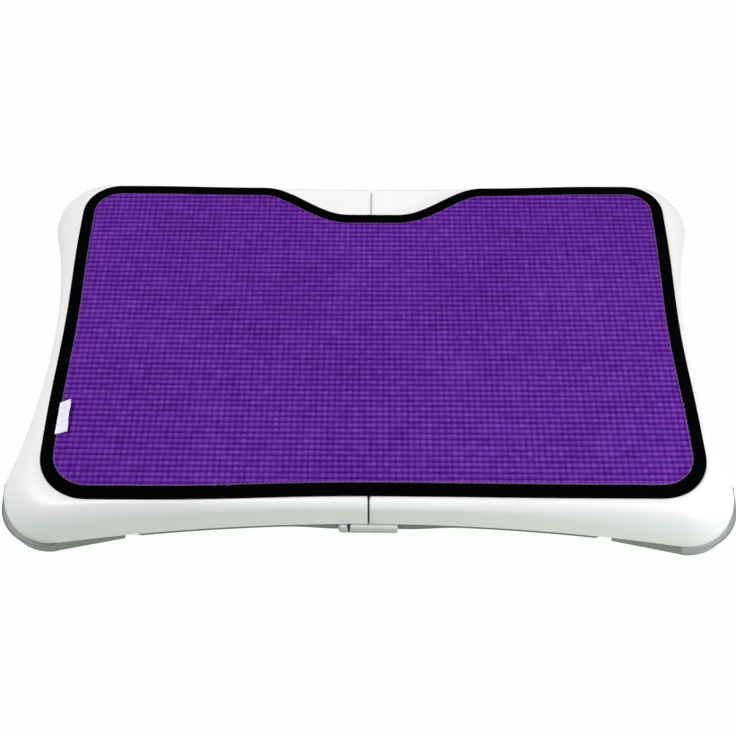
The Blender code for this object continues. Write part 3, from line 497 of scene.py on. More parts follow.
def foot_material():
    """Grey foot plastic with painted light and shade: upward faces painted pale as a highlight, painted darker down to
    the floor as shade, the right-hand feet lighter than the left, and the straight faces dark as shade under the
    cover's lip.
    """
    k = Mat("foot_grey", (0.25, 0.26, 0.25), 0.48)
    part = k.add("ShaderNodeSeparateXYZ")
    k.link(k.coords, part.inputs[0])
    # painted shade: darker down towards the floor
    side = k.ramp(k.spread(part.outputs["Z"], 0.0, 1.0, 0.0, 0.016), (0.05, (0.105, 0.112, 0.107)), (0.45, (0.160, 0.170, 0.163)),
                  (0.62, (0.182, 0.192, 0.184)), (0.90, (0.200, 0.210, 0.202)))
    away = k.math('SUBTRACT', k.math('ABSOLUTE', part.outputs["X"]), FOOT_CX * MM)
    along = k.math('SUBTRACT', k.math('ABSOLUTE', part.outputs["Y"]), FOOT_CY * MM)
    radius = k.math('SQRT', k.math('ADD', k.math('MULTIPLY', away, away), k.math('MULTIPLY', along, along)))
    # painted highlight: upward faces near the corner's rim painted lighter
    lit_shelf = k.ramp(k.spread(radius, 0.0, 1.0, (FOOT_R + 0.6) * MM, (FOOT_R + 3.0) * MM), (0.0, (0.34, 0.352, 0.342)),
                   (1.0, (0.175, 0.185, 0.177)))
    facing = k.add("ShaderNodeSeparateXYZ")
    k.link(k.add("ShaderNodeTexCoord").outputs["Normal"], facing.inputs[0])
    # upward faces take the painted highlight, the rest the painted shade towards the floor
    lit_and_shaded = k.mix(k.spread(facing.outputs["Z"], 0.0, 1.0, 0.45, 0.8), side, lit_shelf)
    # painted light: the right-hand feet lighter and the left-hand feet darker, as lit from the right
    right_side_light = k.ramp(k.spread(part.outputs["X"], 0.0, 1.0, -0.2, 0.2), (0.0, (0.80, 0.80, 0.80)), (1.0, (1.30, 1.30, 1.30)))
    lit_and_shaded = k.mix(1.0, lit_and_shaded, right_side_light, 'MULTIPLY')
    # painted shade: the straight faces, tucked under the cover's lip, painted darker
    under_lip_shade = k.ramp(k.spread(part.outputs["Z"], 0.0, 1.0, 0.0, 0.016), (0.05, (0.150, 0.162, 0.154)), (0.95, (0.178, 0.192, 0.182)))
    corner = k.spread(k.math('ABSOLUTE', part.outputs["X"]), 0.0, 1.0, 0.2155, 0.2175)
    mottle = k.ramp(k.noise(35.0, 4.0), (0.35, (0.95, 0.95, 0.95)), (0.65, (1.05, 1.05, 1.05)))
    k.colour(k.mix(1.0, k.mix(corner, under_lip_shade, lit_and_shaded), mottle, 'MULTIPLY'))
    k.rough(k.noise(18.0, 5.0, 0.6, distortion=0.4), 0.43, 0.55, 0.3, 0.7)
    k.bump(k.noise(1200.0, 2.0), 0.02)
    return k.m


BASE, FOOT = base_material(), foot_material()
BAY = plastic("bay_grey", (0.40, 0.41, 0.41), (0.46, 0.47, 0.47), 0.5, 0.02)


def bar_material(name, lo, hi, rough, **coat):
    """Pale moulded bar with a painted highlight along its crown and painted shade underneath."""
    k = Mat(name, hi, rough, **coat)
    height = k.add("ShaderNodeSeparateXYZ")
    k.link(k.coords, height.inputs[0])
    tone = k.ramp(k.noise(200.0, 3.0), (0.35, lo), (0.65, hi))
    # painted light: lighter towards the crown with a highlight at the top, darker underneath as painted shade
    painted_light_by_height = k.ramp(k.spread(height.outputs["Z"], 0.0, 1.0, (BAR_Z - BAR_R) * MM, (BAR_Z + BAR_R) * MM),
                     (0.50, (0.55, 0.56, 0.55)), (0.64, (0.61, 0.62, 0.61)), (0.75, (0.70, 0.71, 0.70)), (0.85, (0.88, 0.89, 0.88)),
                     (0.94, (1.22, 1.22, 1.22)))
    k.colour(k.mix(1.0, tone, painted_light_by_height, 'MULTIPLY'))
    k.rough(k.noise(60.0, 4.0), rough - 0.05, rough + 0.07, 0.3, 0.7)
    k.bump(k.noise(1500.0, 2.0), 0.008)
    return k.m


BUTTON = bar_material("button_grey", (0.66, 0.70, 0.67), (0.70, 0.74, 0.71), 0.27)
SYNC = plastic("sync_red", (0.50, 0.03, 0.025), (0.60, 0.045, 0.035), 0.38, 0.02)
RUBBER = plastic("pad_rubber", (0.035, 0.036, 0.037), (0.055, 0.056, 0.057), 0.75, 0.05, 700.0)
LEAD = plastic("lead_pvc", (0.03, 0.03, 0.032), (0.05, 0.05, 0.052), 0.45, 0.02)
PCB = plastic("pcb_green", (0.02, 0.16, 0.06), (0.03, 0.22, 0.09), 0.35, 0.02)
SLEEVE = plastic("battery_sleeve", (0.06, 0.07, 0.085), (0.09, 0.10, 0.12), 0.28, 0.005)
STEEL = metal("zinc_steel", (0.52, 0.53, 0.54), (0.64, 0.65, 0.66), 0.35)
ALLOY = metal("cell_alloy", (0.66, 0.67, 0.69), (0.76, 0.77, 0.79), 0.32)
ZINC = metal("bolt_zinc", (0.46, 0.47, 0.49), (0.62, 0.63, 0.65), 0.30, (40, 40, 4))
NICKEL = metal("contact_nickel", (0.68, 0.65, 0.58), (0.78, 0.75, 0.68), 0.24, (30, 30, 3))
CAP = metal("cell_steel", (0.62, 0.62, 0.62), (0.75, 0.75, 0.74), 0.25, (30, 3, 30))
TIN = metal("shield_tin", (0.62, 0.63, 0.62), (0.74, 0.75, 0.74), 0.28)


def lens_material():
    return bar_material("lens_grey", (0.62, 0.67, 0.645), (0.67, 0.72, 0.695), 0.20, Coat_Weight=0.4, Coat_Roughness=0.08)


def weave_material():
    """Purple waffle cloth: crowns painted pale and deep grooves painted dark as painted shade, uneven dye and lint."""
    k = Mat("mat_purple", (0.11, 0.022, 0.28), 0.9, Sheen_Weight=0.015, Sheen_Roughness=0.45)
    k.b.inputs["Sheen Tint"].default_value = (0.75, 0.55, 1.0, 1)
    k.b.inputs["Specular IOR Level"].default_value = 0.03
    relief = k.attribute("relief")
    # painted shade and light: the relief attribute darkens the grooves and lightens the crowns
    base = k.ramp(relief, (0.0, (0.034, 0.0011, 0.125)), (0.5, (0.080, 0.0103, 0.228)), (1.0, (0.150, 0.041, 0.340)))
    dye = k.ramp(k.noise(160.0, 3.0, 0.6), (0.3, (0.80, 0.74, 0.84)), (0.7, (1.18, 1.2, 1.12)))
    base = k.mix(1.0, base, dye, 'MULTIPLY')
    patches = k.ramp(k.noise(14.0, 3.0, 0.5), (0.35, (0.93, 0.93, 0.95)), (0.65, (1.06, 1.05, 1.04)))
    base = k.mix(1.0, base, patches, 'MULTIPLY')
    k.colour(base)
    k.rough(k.noise(900.0, 2.0), 0.78, 0.95, 0.3, 0.7)
    k.bump(k.noise(2600.0, 2.0, at=k.stretched((1, 2.2, 1))), 0.12, 0.7)
    return k.m


def binding_material():
    k = Mat("binding_black", (0.0012, 0.0014, 0.0013), 0.9, Sheen_Weight=0.0)
    k.b.inputs["Specular IOR Level"].default_value = 0.0
    turn = k.stretched((1, 1, 1), (0, 0, math.radians(45)))
    a, b = k.wave(420.0, 'X', turn), k.wave(420.0, 'Y', turn)
    cloth = k.math('MAXIMUM', a, b)
    k.colour(k.ramp(k.noise(220.0, 3.0), (0.3, (0.0006, 0.0007, 0.0007)), (0.7, (0.0016, 0.0018, 0.0017))))
    k.rough(cloth, 0.85, 0.65)
    k.bump(cloth, 0.06)
    return k.m


def thread_material():
    k = Mat("edge_thread", (0.12, 0.055, 0.22), 0.6, Sheen_Weight=0.05)
    k.b.inputs["Specular IOR Level"].default_value = 0.2
    k.colour(k.ramp(k.noise(180.0, 3.0), (0.3, (0.095, 0.042, 0.175)), (0.7, (0.175, 0.088, 0.27))))
    k.bump(k.wave(1500.0, 'DIAGONAL'), 0.05)
    return k.m


def tab_material():
    k = Mat("tab_white", (0.74, 0.70, 0.82), 0.7, Sheen_Weight=0.1)
    ribs = k.wave(300.0, 'Y')
    k.colour(k.ramp(k.noise(240.0, 3.0), (0.3, (0.68, 0.63, 0.76)), (0.7, (0.80, 0.76, 0.87))))
    k.rough(ribs, 0.62, 0.8)
    k.bump(ribs, 0.05)
    return k.m


LENS_MAT, WEAVE, BINDING, THREAD, TAB = (lens_material(), weave_material(), binding_material(), thread_material(),
                                         tab_material())

# ------------------------------------------------------------------ top covers
def cover_rings(depth, drop, steps):
    """Rings of the flank from above its lip to the deck, on a surface depth inside the outside.

    The shoulder is small in the middle of the long sides and takes up the whole flank elsewhere.
    """
    a, b, nrm = offset(OUTLINE, -depth), offset(TOPLINE, -depth), normals(OUTLINE)
    low = np.maximum(WAIST_Z, EDGE + 1.5)
    run = ((a - b) * nrm).sum(1)
    high = low + 0.6 + (HEIGHT - SHOULDER - low - 0.6) * (1 - smoothstep((run - 4) / 7))
    wide = a + nrm * np.maximum(0.0, SHOULDER - run)[:, None]
    rings = [ring_at(a, low), ring_at(a + (wide - a) * 0.5, low + (high - low) * 0.5)]
    for i in range(steps + 1):
        t = math.pi / 2 * i / steps
        rings.append(ring_at(wide + (b - wide) * (1 - math.cos(t)), high + (HEIGHT - drop - high) * math.sin(t)))
    return rings


def cover_shell():
    lip = 0.7
    low = np.maximum(WAIST_Z, EDGE + 1.5)
    outer = [ring_at(offset(OUTLINE, -lip + lip * math.sin(math.radians(t))), EDGE + lip - lip * math.cos(math.radians(t)))
             for t in (0, 30, 60, 90)]
    outer += cover_rings(0, 0, 22)
    inner = [ring_at(offset(OUTLINE, -WALL + 0.3), EDGE), ring_at(offset(OUTLINE, -WALL), EDGE + 0.3)]
    inner += cover_rings(WALL, WALL, 8)
    return between(outer, inner)


def between(outer, inner):
    """Closed shell between two stacks of rings: open below, with a deck on top."""
    bm = bmesh.new()
    skin(outer, bm, caps=False)
    skin(inner, bm, caps=False)
    bm.verts.ensure_lookup_table()
    n, k = len(OUTLINE), len(outer)
    v = list(bm.verts)
    low_out, top_out = v[0:n], v[n * (k - 1):n * k]
    low_in, top_in = v[n * k:n * (k + 1)], v[-n:]
    for i in range(n):
        j = (i + 1) % n
        bm.faces.new((low_out[j], low_out[i], low_in[i], low_in[j]))
    bm.faces.new(top_out)
    bm.faces.new(list(reversed(top_in)))
    return bm


def seam_tongue(d0, d1, x0, x1, front=False):
    """A strip that backs the joint line between two depths of the cover: under deck and rear flank, or in the front
    flank, where a dark one stands for the shade in the joint.
    """
    bm = between(cover_rings(d0, d0, 8), cover_rings(d1, d1, 8))
    end = ((0, -138.4, 0), (0, -1, 0)) if front else ((0, -138.0, 0), (0, 1, 0))
    low = 24.6 if front else 26.5
    for at, away in (((x0, 0, 0), (1, 0, 0)), ((x1, 0, 0), (-1, 0, 0)), ((0, 0, low), (0, 0, 1)), end):
        cut = bmesh.ops.bisect_plane(bm, geom=bm.verts[:] + bm.edges[:] + bm.faces[:], dist=1e-5, plane_co=at, plane_no=away,
                                     clear_inner=True)
        bmesh.ops.contextual_create(bm, geom=[g for g in cut['geom_cut'] if isinstance(g, bmesh.types.BMEdge)])
    return bm


def half_cover(tag, s):
    bm = cover_shell()
    cut = bmesh.ops.bisect_plane(bm, geom=bm.verts[:] + bm.edges[:] + bm.faces[:], dist=1e-5,
                                 plane_co=(JOINT_X + s * SEAM, 0, 0), plane_no=(s, 0, 0), clear_inner=True)
    edges = [g for g in cut['geom_cut'] if isinstance(g, bmesh.types.BMEdge)]
    bmesh.ops.contextual_create(bm, geom=edges)
    for v in bm.verts:                         # the joint line opens a little where it turns over the front shoulder
        if abs(v.co.x - JOINT_X - s * SEAM) < 1e-4 and v.co.y < 0 and v.co.z > 49:
            v.co.x += s * 0.8 * float(smoothstep((v.co.y + 143.2) / 2.0))
    weight = bm.edges.layers.float.new("bevel_weight_edge")
    for e in bm.edges:
        if all(abs(v.co.x - JOINT_X - s * SEAM) < 0.9 for v in e.verts) and len(e.link_faces) == 2:
            e[weight] = 1.0
    ob = to_object(bm, "cover_" + tag, 40)
    m = ob.modifiers.new("round", 'BEVEL')
    m.limit_method, m.width, m.segments = 'WEIGHT', 0.22 * MM, 2
    settle(ob, 40)
    if s > 0:                                  # the right cover carries a tongue that reaches under the left one
        cut_with(ob, seam_tongue(WALL - 0.3, WALL + 1.4, JOINT_X + SEAM + 0.5, JOINT_X + SEAM + 2.2), 'UNION')
        cut_with(ob, seam_tongue(WALL + 0.35, WALL + 1.4, -2.2, JOINT_X + SEAM + 1.4), 'UNION')
        settle(ob, 40)
    paint(ob, COVER)
    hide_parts("top_cover_" + tag)
    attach(ob, "board")
    return ob


half_cover("left", -1)
half_cover("right", 1)
# a dark strip inside the front joint line, standing for the shade in the open joint
seam_shade_strip = to_object(seam_tongue(WALL + 0.15, WALL + 0.6, -2.6, 3.4, True), "joint_shade_strip", 40)
paint(seam_shade_strip, RUBBER)
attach(seam_shade_strip, "board")


# ---------------------------------------------------------------- bottom cover
def base_shell():
    """The moulded bottom cover: upright wall, rounded turn and flat underside, with its openings."""
    nrm, inset = normals(OUTLINE), base_inset(OUTLINE)
    low = np.maximum(EDGE - 8.4, 10.1)
    dip = np.where(OUTLINE[:, 1] < 0, 1 - smoothstep((np.abs(OUTLINE[:, 0] - 4.0) - 22.0) / 40.0), 0.0)
    low = low + (9.9 - low) * dip

    def at(t, z):
        return ring_at(OUTLINE - nrm * (inset + t)[:, None], z)

    slope = (low - BASE_Z) * 1.3
    out = [at(slope + 1.0, BASE_Z), at(slope * 0.93 + 0.55, BASE_Z + 0.18 * (low - BASE_Z)),
           at(0.9 + 0 * low, low - 0.35 * np.minimum(1.0, low - BASE_Z)), at(0.25 + 0 * low, low + 0.15), at(0 * low, low + 0.9),
           at(0 * low, EDGE + 3.0)]
    inn = [at(2.0 + slope + 1.6, BASE_Z + BASE_T), at(2.0 + 0 * low, np.maximum(low + 1.6, BASE_Z + BASE_T + 0.5)),
           at(2.0 + 0 * low, EDGE + 3.0)]
    ob = to_object(skin(out + inn[::-1]), "base_shell", 40)
    for key, (x, y) in SCREWS.items():
        cut_with(ob, cylinder(x, y, 5.6, 10.4, 15.0, 32), 'UNION')
    for x in (-27.2, 27.2):
        cut_with(ob, box(x - 2.2, x + 2.2, -135.0, -126.5, 10.8, 23.0), 'UNION')
    for x, y in ((-132, 34.6), (-132, -34.6), (-52, 34.6), (-52, -34.6)):
        cut_with(ob, cylinder(x, y, 2.5, 10.8, PCB_Z - 0.3, 24), 'UNION')
    cut_with(ob, box(BOX_X0 - 2.4, BOX_X1 + 2.4, -BOX_HY - 2.4, BOX_HY + 2.4, BASE_Z + BASE_T - 0.8, 40))
    cut_with(ob, prism(rounded_rect(BOX_X0, BOX_X1, -BOX_HY, BOX_HY, 1.2, 4), 5, 40))
    for sx in (-1, 1):
        for sy in (-1, 1):
            cut_with(ob, cylinder(sx * FOOT_BOLT_X, sy * CELL_Y, 9.0, 5, 20, 40))
    for key, (x, y) in SCREWS.items():
        cut_with(ob, turned([(4.6, 5), (4.6, BASE_Z - 0.01), (3.4, BASE_Z + 0.9), (3.4, 12.4)], x, y))
        cut_with(ob, cylinder(x, y, 1.7, 12.0, 20, 24))
    for x0, x1 in ((BUTTON_X0, BUTTON_X1), (LENS_X0, LENS_X1)):
        cut_with(ob, box(x0 - 0.35, x1 + 0.35, -150, -133.6, 11.5, 20.9))
    for x in (-27.2, 27.2):
        cut_with(ob, box(x - 2.6 if x > 0 else x - 1.0, x + 1.0 if x > 0 else x + 2.6, -132.1, -129.5, 12.4, 30))
    # a thumb recess beside the battery cover's latch
    cut_with(ob, prism(rounded_rect(-104.5, -91.5, -BOX_HY - 6.5, -BOX_HY + 1.0, 3.0, 6), 5, BASE_Z + 0.9))
    settle(ob, 38.0)
    for p in ob.data.polygons:                 # the flat underside and its rims keep their own flat shading
        if abs(p.normal.z) > 0.995:
            p.use_smooth = False
    paint(ob, BASE)
    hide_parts("bottom_cover")
    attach(ob, "board")


base_shell()


# ------------------------------------------------------------------------ feet
def foot_outer(grow, rear, n=36):
    """Outer faces of a foot seen from above: side end, round corner, crease, straight face."""
    cx = FOOT_CX - (REAR_TUCK if rear else 0.0)
    r = FOOT_R + grow
    crease = FOOT_CREASE_X - max(0.0, grow)
    start = math.acos((crease - cx) / r)
    pts = [(cx + r - 4.0, FOOT_Y), (cx + r - 2.4, FOOT_Y + 0.35), (cx + r - 1.2, FOOT_Y + 1.2),
           (cx + r - 0.35, FOOT_Y + 2.4), (cx + r, FOOT_Y + 4.0)]
    pts += [(cx + r * math.cos(start * i / n), FOOT_CY + r * math.sin(start * i / n)) for i in range(n + 1)]
    out = (grow * FOOT_LEAN if grow > 0 else grow) - FOOT_STEP
    x0, y0, y1 = FOOT_CREASE_X - 0.15, FOOT_CY + FOOT_R - 0.3 + out, FOOT_END_Y + out
    xs = np.linspace(crease - 0.15, FOOT_X, 9)
    return pts + [(float(x), y0 + (y1 - y0) * float(x - x0) / (FOOT_X - x0)) for x in xs]


def foot_plan(grow, rear, inset=0.0, r=14.0):
    x0, y0 = FOOT_X + inset, FOOT_Y + inset
    out = foot_outer(grow, rear)
    out[:5] = [(x, y + inset) for x, y in out[:5]]
    slope = (out[-1][1] - out[-2][1]) / (out[-1][0] - out[-2][0])
    out[-1] = (x0, out[-1][1] + slope * inset)
    arc = [(x0 + r - r * math.cos(math.radians(a)), y0 + r - r * math.sin(math.radians(a))) for a in range(0, 91, 6)]
    return out + arc


def foot_body(sx, sy, tag):
    def put(points, z):
        return [(sx * x, sy * y, z) for x, y in points]

    rear = sy > 0
    rings = [put(foot_plan(g, rear, i, 14.0 - i), z) for g, i, z in
             ((-0.75, 0.75, FOOT_LOW), (-0.35, 0.35, FOOT_LOW + 0.12), (-0.08, 0.12, FOOT_LOW + 0.4), (0.15, 0.0, FOOT_LOW + 0.9))]
    rings.append(put(foot_plan((19.0 - FOOT_LOW) * FOOT_DRAFT, rear), 19.0))
    foot = to_object(skin(rings), "foot_shell_" + tag, 35)
    cut_with(foot, prism([tuple(p) for p in offset(OUTLINE, -COLLAR_IN)], FOOT_TOP, 30))
    section = []
    near, far = foot_outer(-14.0, rear), foot_outer(9.0, rear)
    near[0], far[0] = (near[0][0], FOOT_Y - 3), (far[0][0], FOOT_Y - 3)
    near[-1], far[-1] = (FOOT_X - 3, near[-1][1] - 0.6), (FOOT_X - 3, far[-1][1] - 0.6)
    height = edge_height(np.array(foot_outer(3.3, False))) - COLLAR_GAP
    for p, q, z in zip(near, far, height):
        section.append([(sx * p[0], sy * p[1], z), (sx * q[0], sy * q[1], z), (sx * q[0], sy * q[1], 32), (sx * p[0], sy * p[1], 32)])
    cut_with(foot, skin(section))
    bx, by = sx * FOOT_BOLT_X, sy * CELL_Y
    cut_with(foot, cylinder(bx, by, 8.0, 8.0, CELL_Z0 - 0.3, 40), 'UNION')
    recess = [(sx * x, sy * y) for x, y in foot_plan(-4.2, rear, 4.7, 9.7)]
    cut_with(foot, prism(recess, -1.0, 2.0))
    cut_with(foot, cylinder(bx, by, 5.2, 1.5, 5.3, 32))
    cut_with(foot, cylinder(bx, by, 2.6, 4.5, 16.0, 24))
    settle(foot, 38.0)
    paint(foot, FOOT)
    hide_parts("foot_" + tag)
    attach(foot, "board")
    # ribbed rubber pad that fills the recess
    rings = [put(foot_plan(-4.5 - g, rear, 5.0 + g, 9.4 - g), z) for g, z in ((0.5, 0.0), (0.15, 0.12), (0.0, 0.5), (0.0, PAD_TOP))]
    pad = to_object(skin(rings), "grip_pad_" + tag, 35)
    bars = bmesh.new()
    for k in range(7):
        x = FOOT_X + 14.0 + 9.5 * k
        x0, x1 = sorted((sx * x, sx * (x + 2.2)))
        y0, y1 = sorted((sy * (FOOT_Y + 12.0), sy * (FOOT_Y + 33.0)))
        prism(rounded_rect(x0, x1, y0, y1, 1.0, 4), -1.0, 0.6, 'z', bars)
    cut_with(pad, bars)
    paint(pad, RUBBER)
    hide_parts("foot_pad_" + tag)
    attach(pad, "board")


for sy, fb in ((-1, "front"), (1, "rear")):
    for sx, lr in ((-1, "left"), (1, "right")):
        foot_body(sx, sy, "%s_%s" % (fb, lr))


# ---------------------------------------------------------------- power button
def front_bar(name, x0, x1, y_back, round0, round1, flange):
    """Half-round bar along X with rounded ends, on a stem that ends in a flange."""
    def ring(x, d):
        arc = [(BAR_Y + (BAR_R - d) * math.cos(math.radians(a)), BAR_Z + (BAR_R - d) * math.sin(math.radians(a)))
               for a in np.linspace(90, 270, 33)]
        sec = arc + [(y_back, BAR_Z - BAR_R + d), (y_back, BAR_Z + BAR_R - d)]
        return [(x, y, z) for y, z in sec]

    rings = [ring(x0 + round0[0] * (1 - math.cos(t)), round0[1] * (1 - math.sin(t))) for t in np.linspace(0, math.pi / 2, 7)]
    rings += [ring(x1 - round1[0] * (1 - math.cos(t)), round1[1] * (1 - math.sin(t))) for t in np.linspace(math.pi / 2, 0, 7)]
    ob = to_object(skin(rings), name, 35)
    cut_with(ob, box(flange[0], flange[1], -138.3, y_back + 0.2, 14.4, 21.6), 'UNION')
    return settle(ob, 38.0)


button = paint(front_bar("button_bar", BUTTON_X0, BUTTON_X1, -137.3, (0.5, 0.45), (1.3, 0.9), (BUTTON_X0 + 2, BUTTON_X1 + 1.6)), BUTTON)
lens = paint(front_bar("indicator_lens", LENS_X0, LENS_X1, -136.4, (3.0, 2.6), (0.5, 0.4), (LENS_X0 - 1.6, LENS_X1 - 1.5)), LENS_MAT)
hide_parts("power_button")
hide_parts("led_lens")
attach(button, "power_button")
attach(lens, "board")
arc = [(BAR_Y + 4.25 * math.cos(a), BAR_Z + 4.25 * math.sin(a)) for a in np.linspace(math.pi / 2, 1.5 * math.pi, 25)]
shield = to_object(prism(arc + [(-142.1, BAR_Z - 4.25), (-142.1, BAR_Z + 4.25)], LENS_X1 + 0.3, BUTTON_X0 - 0.3, 'x'), "divider_strip", 35)
soften(shield, 0.12)
paint(shield, RUBBER)
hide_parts("light_shield")
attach(shield, "board")


# ------------------------------------------------------ battery cover and cells
def battery_lid():
    lid = to_object(prism(rounded_rect(BOX_X0 + 0.4, BOX_X1 - 0.4, -BOX_HY + 0.4, BOX_HY - 0.4, 1.0, 4), BASE_Z, BASE_Z + 2.0),
                    "lid_panel", 35)
    for x in (-118.0, -84.0):
        hook = [(BOX_HY - 4.5, 10.5), (BOX_HY - 0.4, 10.5), (BOX_HY - 0.4, 12.5), (BOX_HY + 2.4, 12.5),
                (BOX_HY + 2.4, 13.5), (BOX_HY + 1.8, 13.9), (BOX_HY - 4.5, 13.9)]
        cut_with(lid, prism(hook, x - 4.0, x + 4.0, 'x'), 'UNION')
    latch = [(-BOX_HY + 0.4, 10.5), (-BOX_HY + 3.4, 10.5), (-BOX_HY + 3.4, 13.0), (-BOX_HY + 2.4, 14.6), (-BOX_HY + 0.4, 14.6)]
    cut_with(lid, prism(latch, -103.0, -93.0, 'x'), 'UNION')
    for x0 in (-105.5, -92.0):
        cut_with(lid, box(x0, x0 + 1.5, -BOX_HY - 2, -BOX_HY + 9, 5, 20))
    grooves = bmesh.new()
    for i in range(5):
        y = -BOX_HY + 10.5 + 2.2 * i
        prism(rounded_rect(-102.5, -93.5, y, y + 1.1, 0.5, 4), 5, BASE_Z + 0.6, 'z', grooves)
    cut_with(lid, grooves)
    # stiffening ribs inside the panel
    for x in (-125.0, -98.0, -71.0):
        cut_with(lid, box(x - 0.5, x + 0.5, -16.0, 22.0, BASE_Z + 1.5, BASE_Z + 2.55), 'UNION')
    return settle(lid, 38.0)


lid = paint(battery_lid(), BASE)
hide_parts("battery_cover")
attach(lid, "battery_cover")


def battery_cell(i):
    """A plain cylindrical cell: sleeve with rolled ends, steel cap and nub."""
    cx, s, h, r = -126.3 + CELL_PITCH * i, (1 if i % 2 == 0 else -1), BATT_L / 2, BATT_R
    prof = [(0.02, -h + 0.15), (4.4, -h + 0.15), (5.0, -h), (5.9, -h), (6.5, -h + 0.1), (r - 0.15, -h + 0.35), (r, -h + 0.8), (r, h - 1.1),
            (r - 0.12, h - 0.5), (6.3, h - 0.15), (5.7, h - 0.05), (5.4, h - 0.25), (3.1, h - 0.25), (2.85, h), (2.7, h + 0.75),
            (2.5, h + 0.9), (0.02, h + 0.9)]
    bm = bmesh.new()
    skin([[(cx + a, s * y, BATT_Z + b) for a, b in circle(0, 0, rr, 48)] for rr, y in prof], bm)
    ob = to_object(bm, "cell_%d" % (i + 1), 35)
    paint(ob, SLEEVE, CAP)
    for f in ob.data.polygons:
        y, rad = s * f.center.y / MM, math.hypot(f.center.x / MM - cx, f.center.z / MM - BATT_Z)
        f.material_index = 1 if (rad < 5.6 and abs(y) > h - 0.6) or y > h else 0
    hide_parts("battery_cell_%d" % (i + 1))
    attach(ob, "board")


def contact_strip(sy, fb):
    """Spring-steel strip: a coned spring for each cell's flat end and a dimple for each nub."""
    y0, y1 = sorted((sy * 28.4, sy * 29.0))
    bm = box(-133.4, -74.3, y0, y1, 15.6, 26.6)
    ob = to_object(bm, "contact_" + fb, 35)
    soften(ob, 0.2, 2)
    for i in range(4):
        cx = -126.3 + CELL_PITCH * i
        plus = (1 if i % 2 == 0 else -1) == sy
        if plus:
            cut_with(ob, skin([[(cx + a * r, sy * y, BATT_Z + b * r) for a, b in circle(0, 0, 1, 32)]
                               for r, y in ((4.1, 28.7), (3.6, 28.2), (3.0, 26.9), (2.4, 26.3), (1.6, 26.02), (0.3, 26.0))]), 'UNION')
        else:
            # wound wire, from the strip out to the cell in narrowing turns
            turns, n, wire = 3.2, 96, 0.3
            pts = []
            for k in range(n + 1):
                f = k / n
                a = 2 * math.pi * turns * f
                rad = 4.0 - 2.0 * f
                pts.append(Vector((cx + rad * math.cos(a), sy * (28.45 - 3.1 * f), BATT_Z + rad * math.sin(a))))
            rings = []
            for k, p in enumerate(pts):
                t = (pts[min(k + 1, n)] - pts[max(k - 1, 0)]).normalized()
                u = t.cross(Vector((0, 1, 0))).normalized()
                w = t.cross(u)
                rings.append([tuple(p + u * wire * math.cos(2 * math.pi * q / 8) + w * wire * math.sin(2 * math.pi * q / 8)) for q in range(8)])
            cut_with(ob, skin(rings), 'UNION')
    settle(ob, 38.0)
    paint(ob, NICKEL)
    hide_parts("contact_strip_" + fb)
    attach(ob, "board")


for i in range(4):
    battery_cell(i)
for sy, fb in ((-1, "front"), (1, "rear")):
    contact_strip(sy, fb)

sync = to_object(turned([(1.7, 22.6), (2.1, 22.65), (2.45, 22.85), (2.6, 23.2), (2.6, 29.7), (3.7, 29.7), (3.9, 29.9), (3.9, 31.0),
                         (1.5, 31.0), (1.5, 31.5)], SYNC_X, SYNC_Y, 40), "sync_cap", 35)
cut_with(sync, turned([(1.9, 22.0), (1.2, 22.85), (0.02, 22.95)], SYNC_X, SYNC_Y, 32))
paint(sync, SYNC)
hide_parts("sync_button")
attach(sync, "sync_button")


# --------------------------------------------------------------------- screws
def cross_recess(ob, x, y, z, deep, arm, wide, turn, up=1):
    """Cuts the tapered cross of a driver into a head whose face is at z."""
    for k in (0, 90):
        a = math.radians(turn + k)
        c, s = math.cos(a), math.sin(a)
        rings = []
        for f, h in ((1.25, -0.3), (1.0, 0.0), (0.45, deep)):
            q = [(-arm * f, -wide), (arm * f, -wide), (arm * f, wide), (-arm * f, wide)]
            rings.append([(x + u * c - v * s, y + u * s + v * c, z + h * up) for u, v in q])
        cut_with(ob, skin(rings))


def screw(name, node, profile, x, y, face, deep, arm, wide, turn, up=1):
    ob = to_object(turned(profile, x, y, 40), name, 35)
    cross_recess(ob, x, y, face, deep, arm, wide, turn, up)
    settle(ob, 38.0)
    paint(ob, ZINC)
    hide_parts(node)
    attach(ob, "board")


for k, (key, (x, y)) in enumerate(SCREWS.items()):
    screw("tapping_screw_" + key, "cover_screw_" + key,
          [(1.9, 9.9), (2.4, 9.97), (2.85, 10.25), (3.0, 10.6), (3.0, 12.1), (1.25, 12.1), (1.25, 26.0), (0.5, 27.5)],
          x, y, 9.9, 1.3, 1.5, 0.3, 17 + 31 * k)
for sy, fb in ((-1, "front"), (1, "rear")):
    for sx, lr in ((-1, "left"), (1, "right")):
        tag = "%s_%s" % (fb, lr)
        screw("shoulder_bolt_" + tag, "foot_bolt_" + tag,
              [(3.2, 2.3), (4.1, 2.4), (4.6, 2.8), (4.6, 5.0), (2.2, 5.0), (2.2, 23.5)],
              sx * FOOT_BOLT_X, sy * CELL_Y, 2.3, 1.6, 2.2, 0.42, 24 + 40 * sx + 13 * sy)
        screw("rail_bolt_" + tag, "cell_bolt_" + tag,
              [(2.2, 14.5), (2.2, 27.5), (4.4, 27.5), (4.4, 29.6), (4.0, 30.3), (3.2, 30.6)],
              sx * 174.0, sy * CELL_Y, 30.6, 1.5, 2.0, 0.4, 8 + 20 * sx + 33 * sy, -1)
for k, (x, y) in enumerate(((-132, 34.6), (-52, -34.6))):
    screw("pan_screw_%d" % (k + 1), "board_screw_%d" % (k + 1),
          [(0.9, PCB_Z - 0.1), (1.1, PCB_Z + 1.9), (2.4, PCB_Z + 1.9), (2.4, PCB_Z + 2.9), (2.1, PCB_Z + 3.25), (1.6, PCB_Z + 3.4)],
          x, y, PCB_Z + 3.4, 1.0, 1.2, 0.25, 35 * k + 10, -1)


